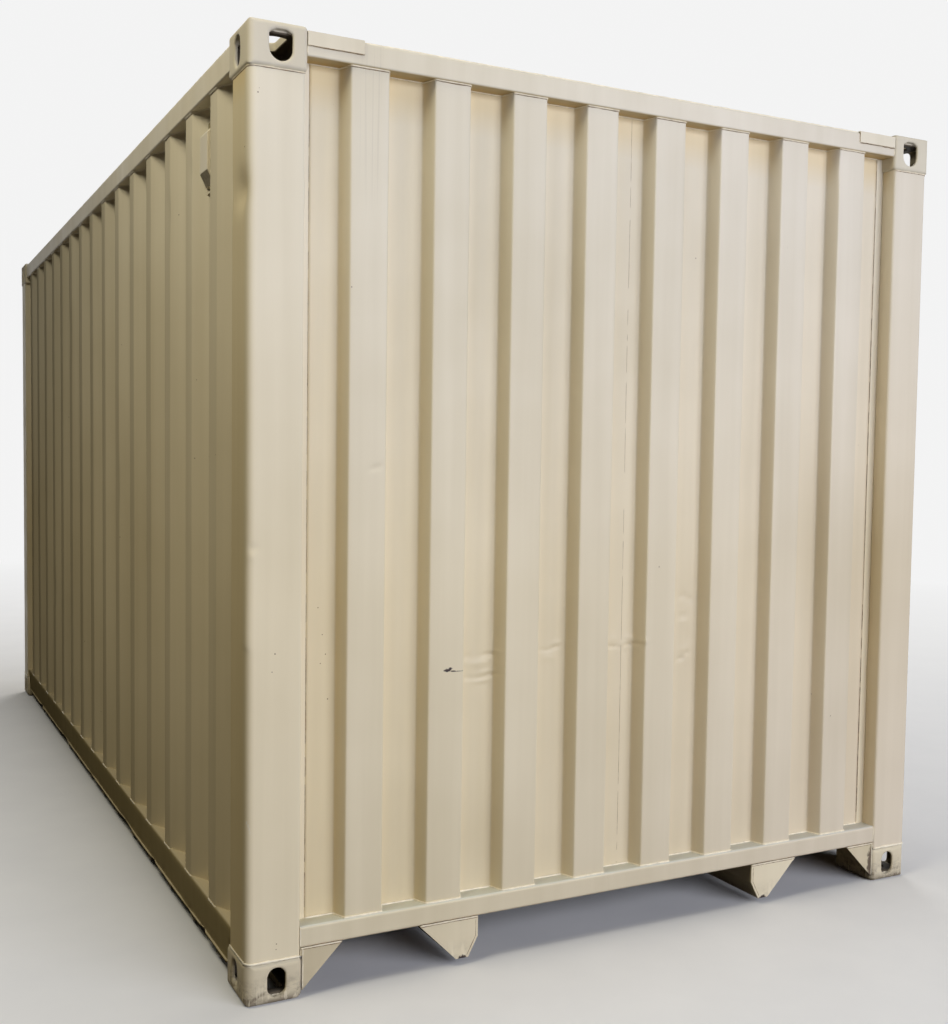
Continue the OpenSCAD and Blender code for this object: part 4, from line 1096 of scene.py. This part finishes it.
# Bolts of each hinge blade: distance in from its pin, and height beside the blade's middle
HINGE_BOLTS = [(0.035, -0.012), (0.075, 0.012), (0.115, -0.012), (0.140, -0.012)]
GUIDE_BOLT_X = 0.031


def make_door_bolts():
    """Bolts through the hinge blades, the rod guides and the handle catches."""
    low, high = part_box("right_door")
    out = high.y + BLADE_T
    hinge_low, hinge_high = heights("door_hinges")
    hinge_pitch = (hinge_high - hinge_low - HINGE_H) / 3
    pin_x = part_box("door_hinges")[1].x - HINGE_OUT
    guide_low, guide_high = heights("rod_guides")
    leaf_low = low.z + LEAF_RAIL
    step = (high.z - LEAF_RAIL - leaf_low) / 5
    guides = (guide_low + GUIDE_H / 2, leaf_low + 1.5 * step, leaf_low + 3.5 * step,
              guide_high - GUIDE_H / 2)
    heads = []
    for s in (-1, 1):
        for i in range(4):
            z = hinge_low + HINGE_H / 2 + i * hinge_pitch
            heads += [(s * (pin_x - u), out, z + up) for u, up in HINGE_BOLTS]
        heads += [(s * (x + side * GUIDE_BOLT_X), out, z)
                  for z in guides for x in ROD_X for side in (-1, 1)]
    bolt_heads("door_bolts", heads, 0.0075, 0.006, zinc)


def dress_nodes():
    """Gives the solids that stay in sight their finish and soft edges."""
    for part in frame["record"]["subparts"]:
        node = frame["nodes"][part["node"]]
        node.data.materials.clear()
        finish = OWN_PAINT.get(part["node"], FINISHES[part["material_slot"]])
        node.data.materials.append(finish)
        if part["node"] not in FITTINGS:
            soften(node, EDGE_SOFT)


# The studio: what the camera sees of it, and the duller floor that light bounces off
BACKDROP = (0.90, 0.90, 0.90)
FLOOR_DARK, FLOOR_LIGHT = (0.76, 0.755, 0.745), (0.82, 0.815, 0.80)
FLOOR_BOUNCE = (0.13, 0.11, 0.08)
ROOM_LIGHT, ROOM_STRENGTH = (1.0, 0.94, 0.80), 0.02
FLOOR_HALF = 60
FADE_INSIDE, FADE_REACH, FADE_CURVE = 0.03, 9.0, 0.38


def beyond(t, value, limit):
    """How far a coordinate lies past a limit on either side, or 0."""
    return t.math("MAXIMUM", t.math("SUBTRACT", t.math("ABSOLUTE", value), limit), 0.0)


def make_stage():
    """A pale floor that keeps the shadow near the part and fades into the background."""
    size = FLOOR_HALF
    mesh = bpy.data.meshes.new("floor")
    mesh.from_pydata([(-size, -size, 0), (size, -size, 0), (size, size, 0), (-size, size, 0)],
                     [], [(0, 1, 2, 3)])
    floor = placed("floor", mesh)
    t = Tree(bpy.data.materials.new("floor"))
    path = t.add("LightPath")
    mirrored = t.math("ADD", path.outputs["Is Glossy Ray"], path.outputs["Is Transmission Ray"])
    seen = t.math("ADD", path.outputs["Is Camera Ray"], mirrored, True)
    grain = t.mix(t.ramp(t.noise(3, 4), 0.3, 0.7), FLOOR_DARK, FLOOR_LIGHT)
    pale = t.add("BsdfDiffuse", {"Color": t.mix(seen, FLOOR_BOUNCE, grain)})
    far = t.add("Emission", {"Color": BACKDROP, "Strength": 1.0})
    x, y = t.axes()[:2]
    out_x = beyond(t, x, HALF_W - FADE_INSIDE)
    out_y = beyond(t, y, REAR - FADE_INSIDE)
    away = t.math("SQRT", t.math("ADD", t.times(out_x, out_x), t.times(out_y, out_y)))
    fade = t.times(t.math("POWER", t.ramp(away, 0.0, FADE_REACH), FADE_CURVE), seen)
    both = t.add("MixShader", {0: fade, 1: pale.outputs[0], 2: far.outputs[0]})
    mesh.materials.append(t.end(both))


def lamp(name, place, aim, size, power, colour):
    data = bpy.data.lights.new(name, "AREA")
    data.shape = "RECTANGLE"
    data.size, data.size_y = size
    data.energy = power
    data.color = colour
    thing = placed(name, data)
    thing.location = place
    thing.rotation_euler = (Vector(aim) - Vector(place)).to_track_quat("-Z", "Y").to_euler()


def make_lamps():
    lamp("key", place=(2.7, FRONT - 8.0, 3.1), aim=(0, FRONT, 1.4), size=(8, 5), power=840,
         colour=(0.845, 0.875, 1.0))
    lamp("fill", place=(-3.2, FRONT - 0.7, 5.0), aim=(-1.2, FRONT + 0.6, 1.9), size=(1.6, 1.6), power=95,
         colour=(1.0, 0.93, 0.72))
    lamp("back", place=(4.6, REAR + 5.2, 4.8), aim=(0.4, REAR - 0.6, 1.2), size=(6, 5), power=560,
         colour=(1.0, 0.97, 0.93))


def make_world():
    """A pale background where the camera, glossy or transmission rays see it, and a faint room light."""
    world = bpy.data.worlds.new("world")
    bpy.context.scene.world = world
    t = Tree(world, "OutputWorld")
    path = t.add("LightPath")
    direct = t.math("MAXIMUM", path.outputs["Is Camera Ray"], path.outputs["Is Transmission Ray"])
    seen = t.math("MAXIMUM", direct, path.outputs["Is Glossy Ray"])
    room = t.add("Background", {"Color": ROOM_LIGHT, "Strength": ROOM_STRENGTH})
    wall = t.add("Background", {"Color": BACKDROP, "Strength": 1.0})
    t.end(t.add("MixShader", {0: seen, 1: room.outputs[0], 2: wall.outputs[0]}))
    bpy.context.scene.view_settings.view_transform = "Standard"


make_camera()
make_stage()
make_lamps()
make_world()
dress_nodes()
make_front_sheet()
make_side_sheets()
make_front_posts()
make_fittings()
make_roof()
make_sheet_welds()
make_fitting_welds()
make_front_welds()
make_seams()
make_roof_welds()
make_base_rails()
make_ventilators()
make_door_bolts()
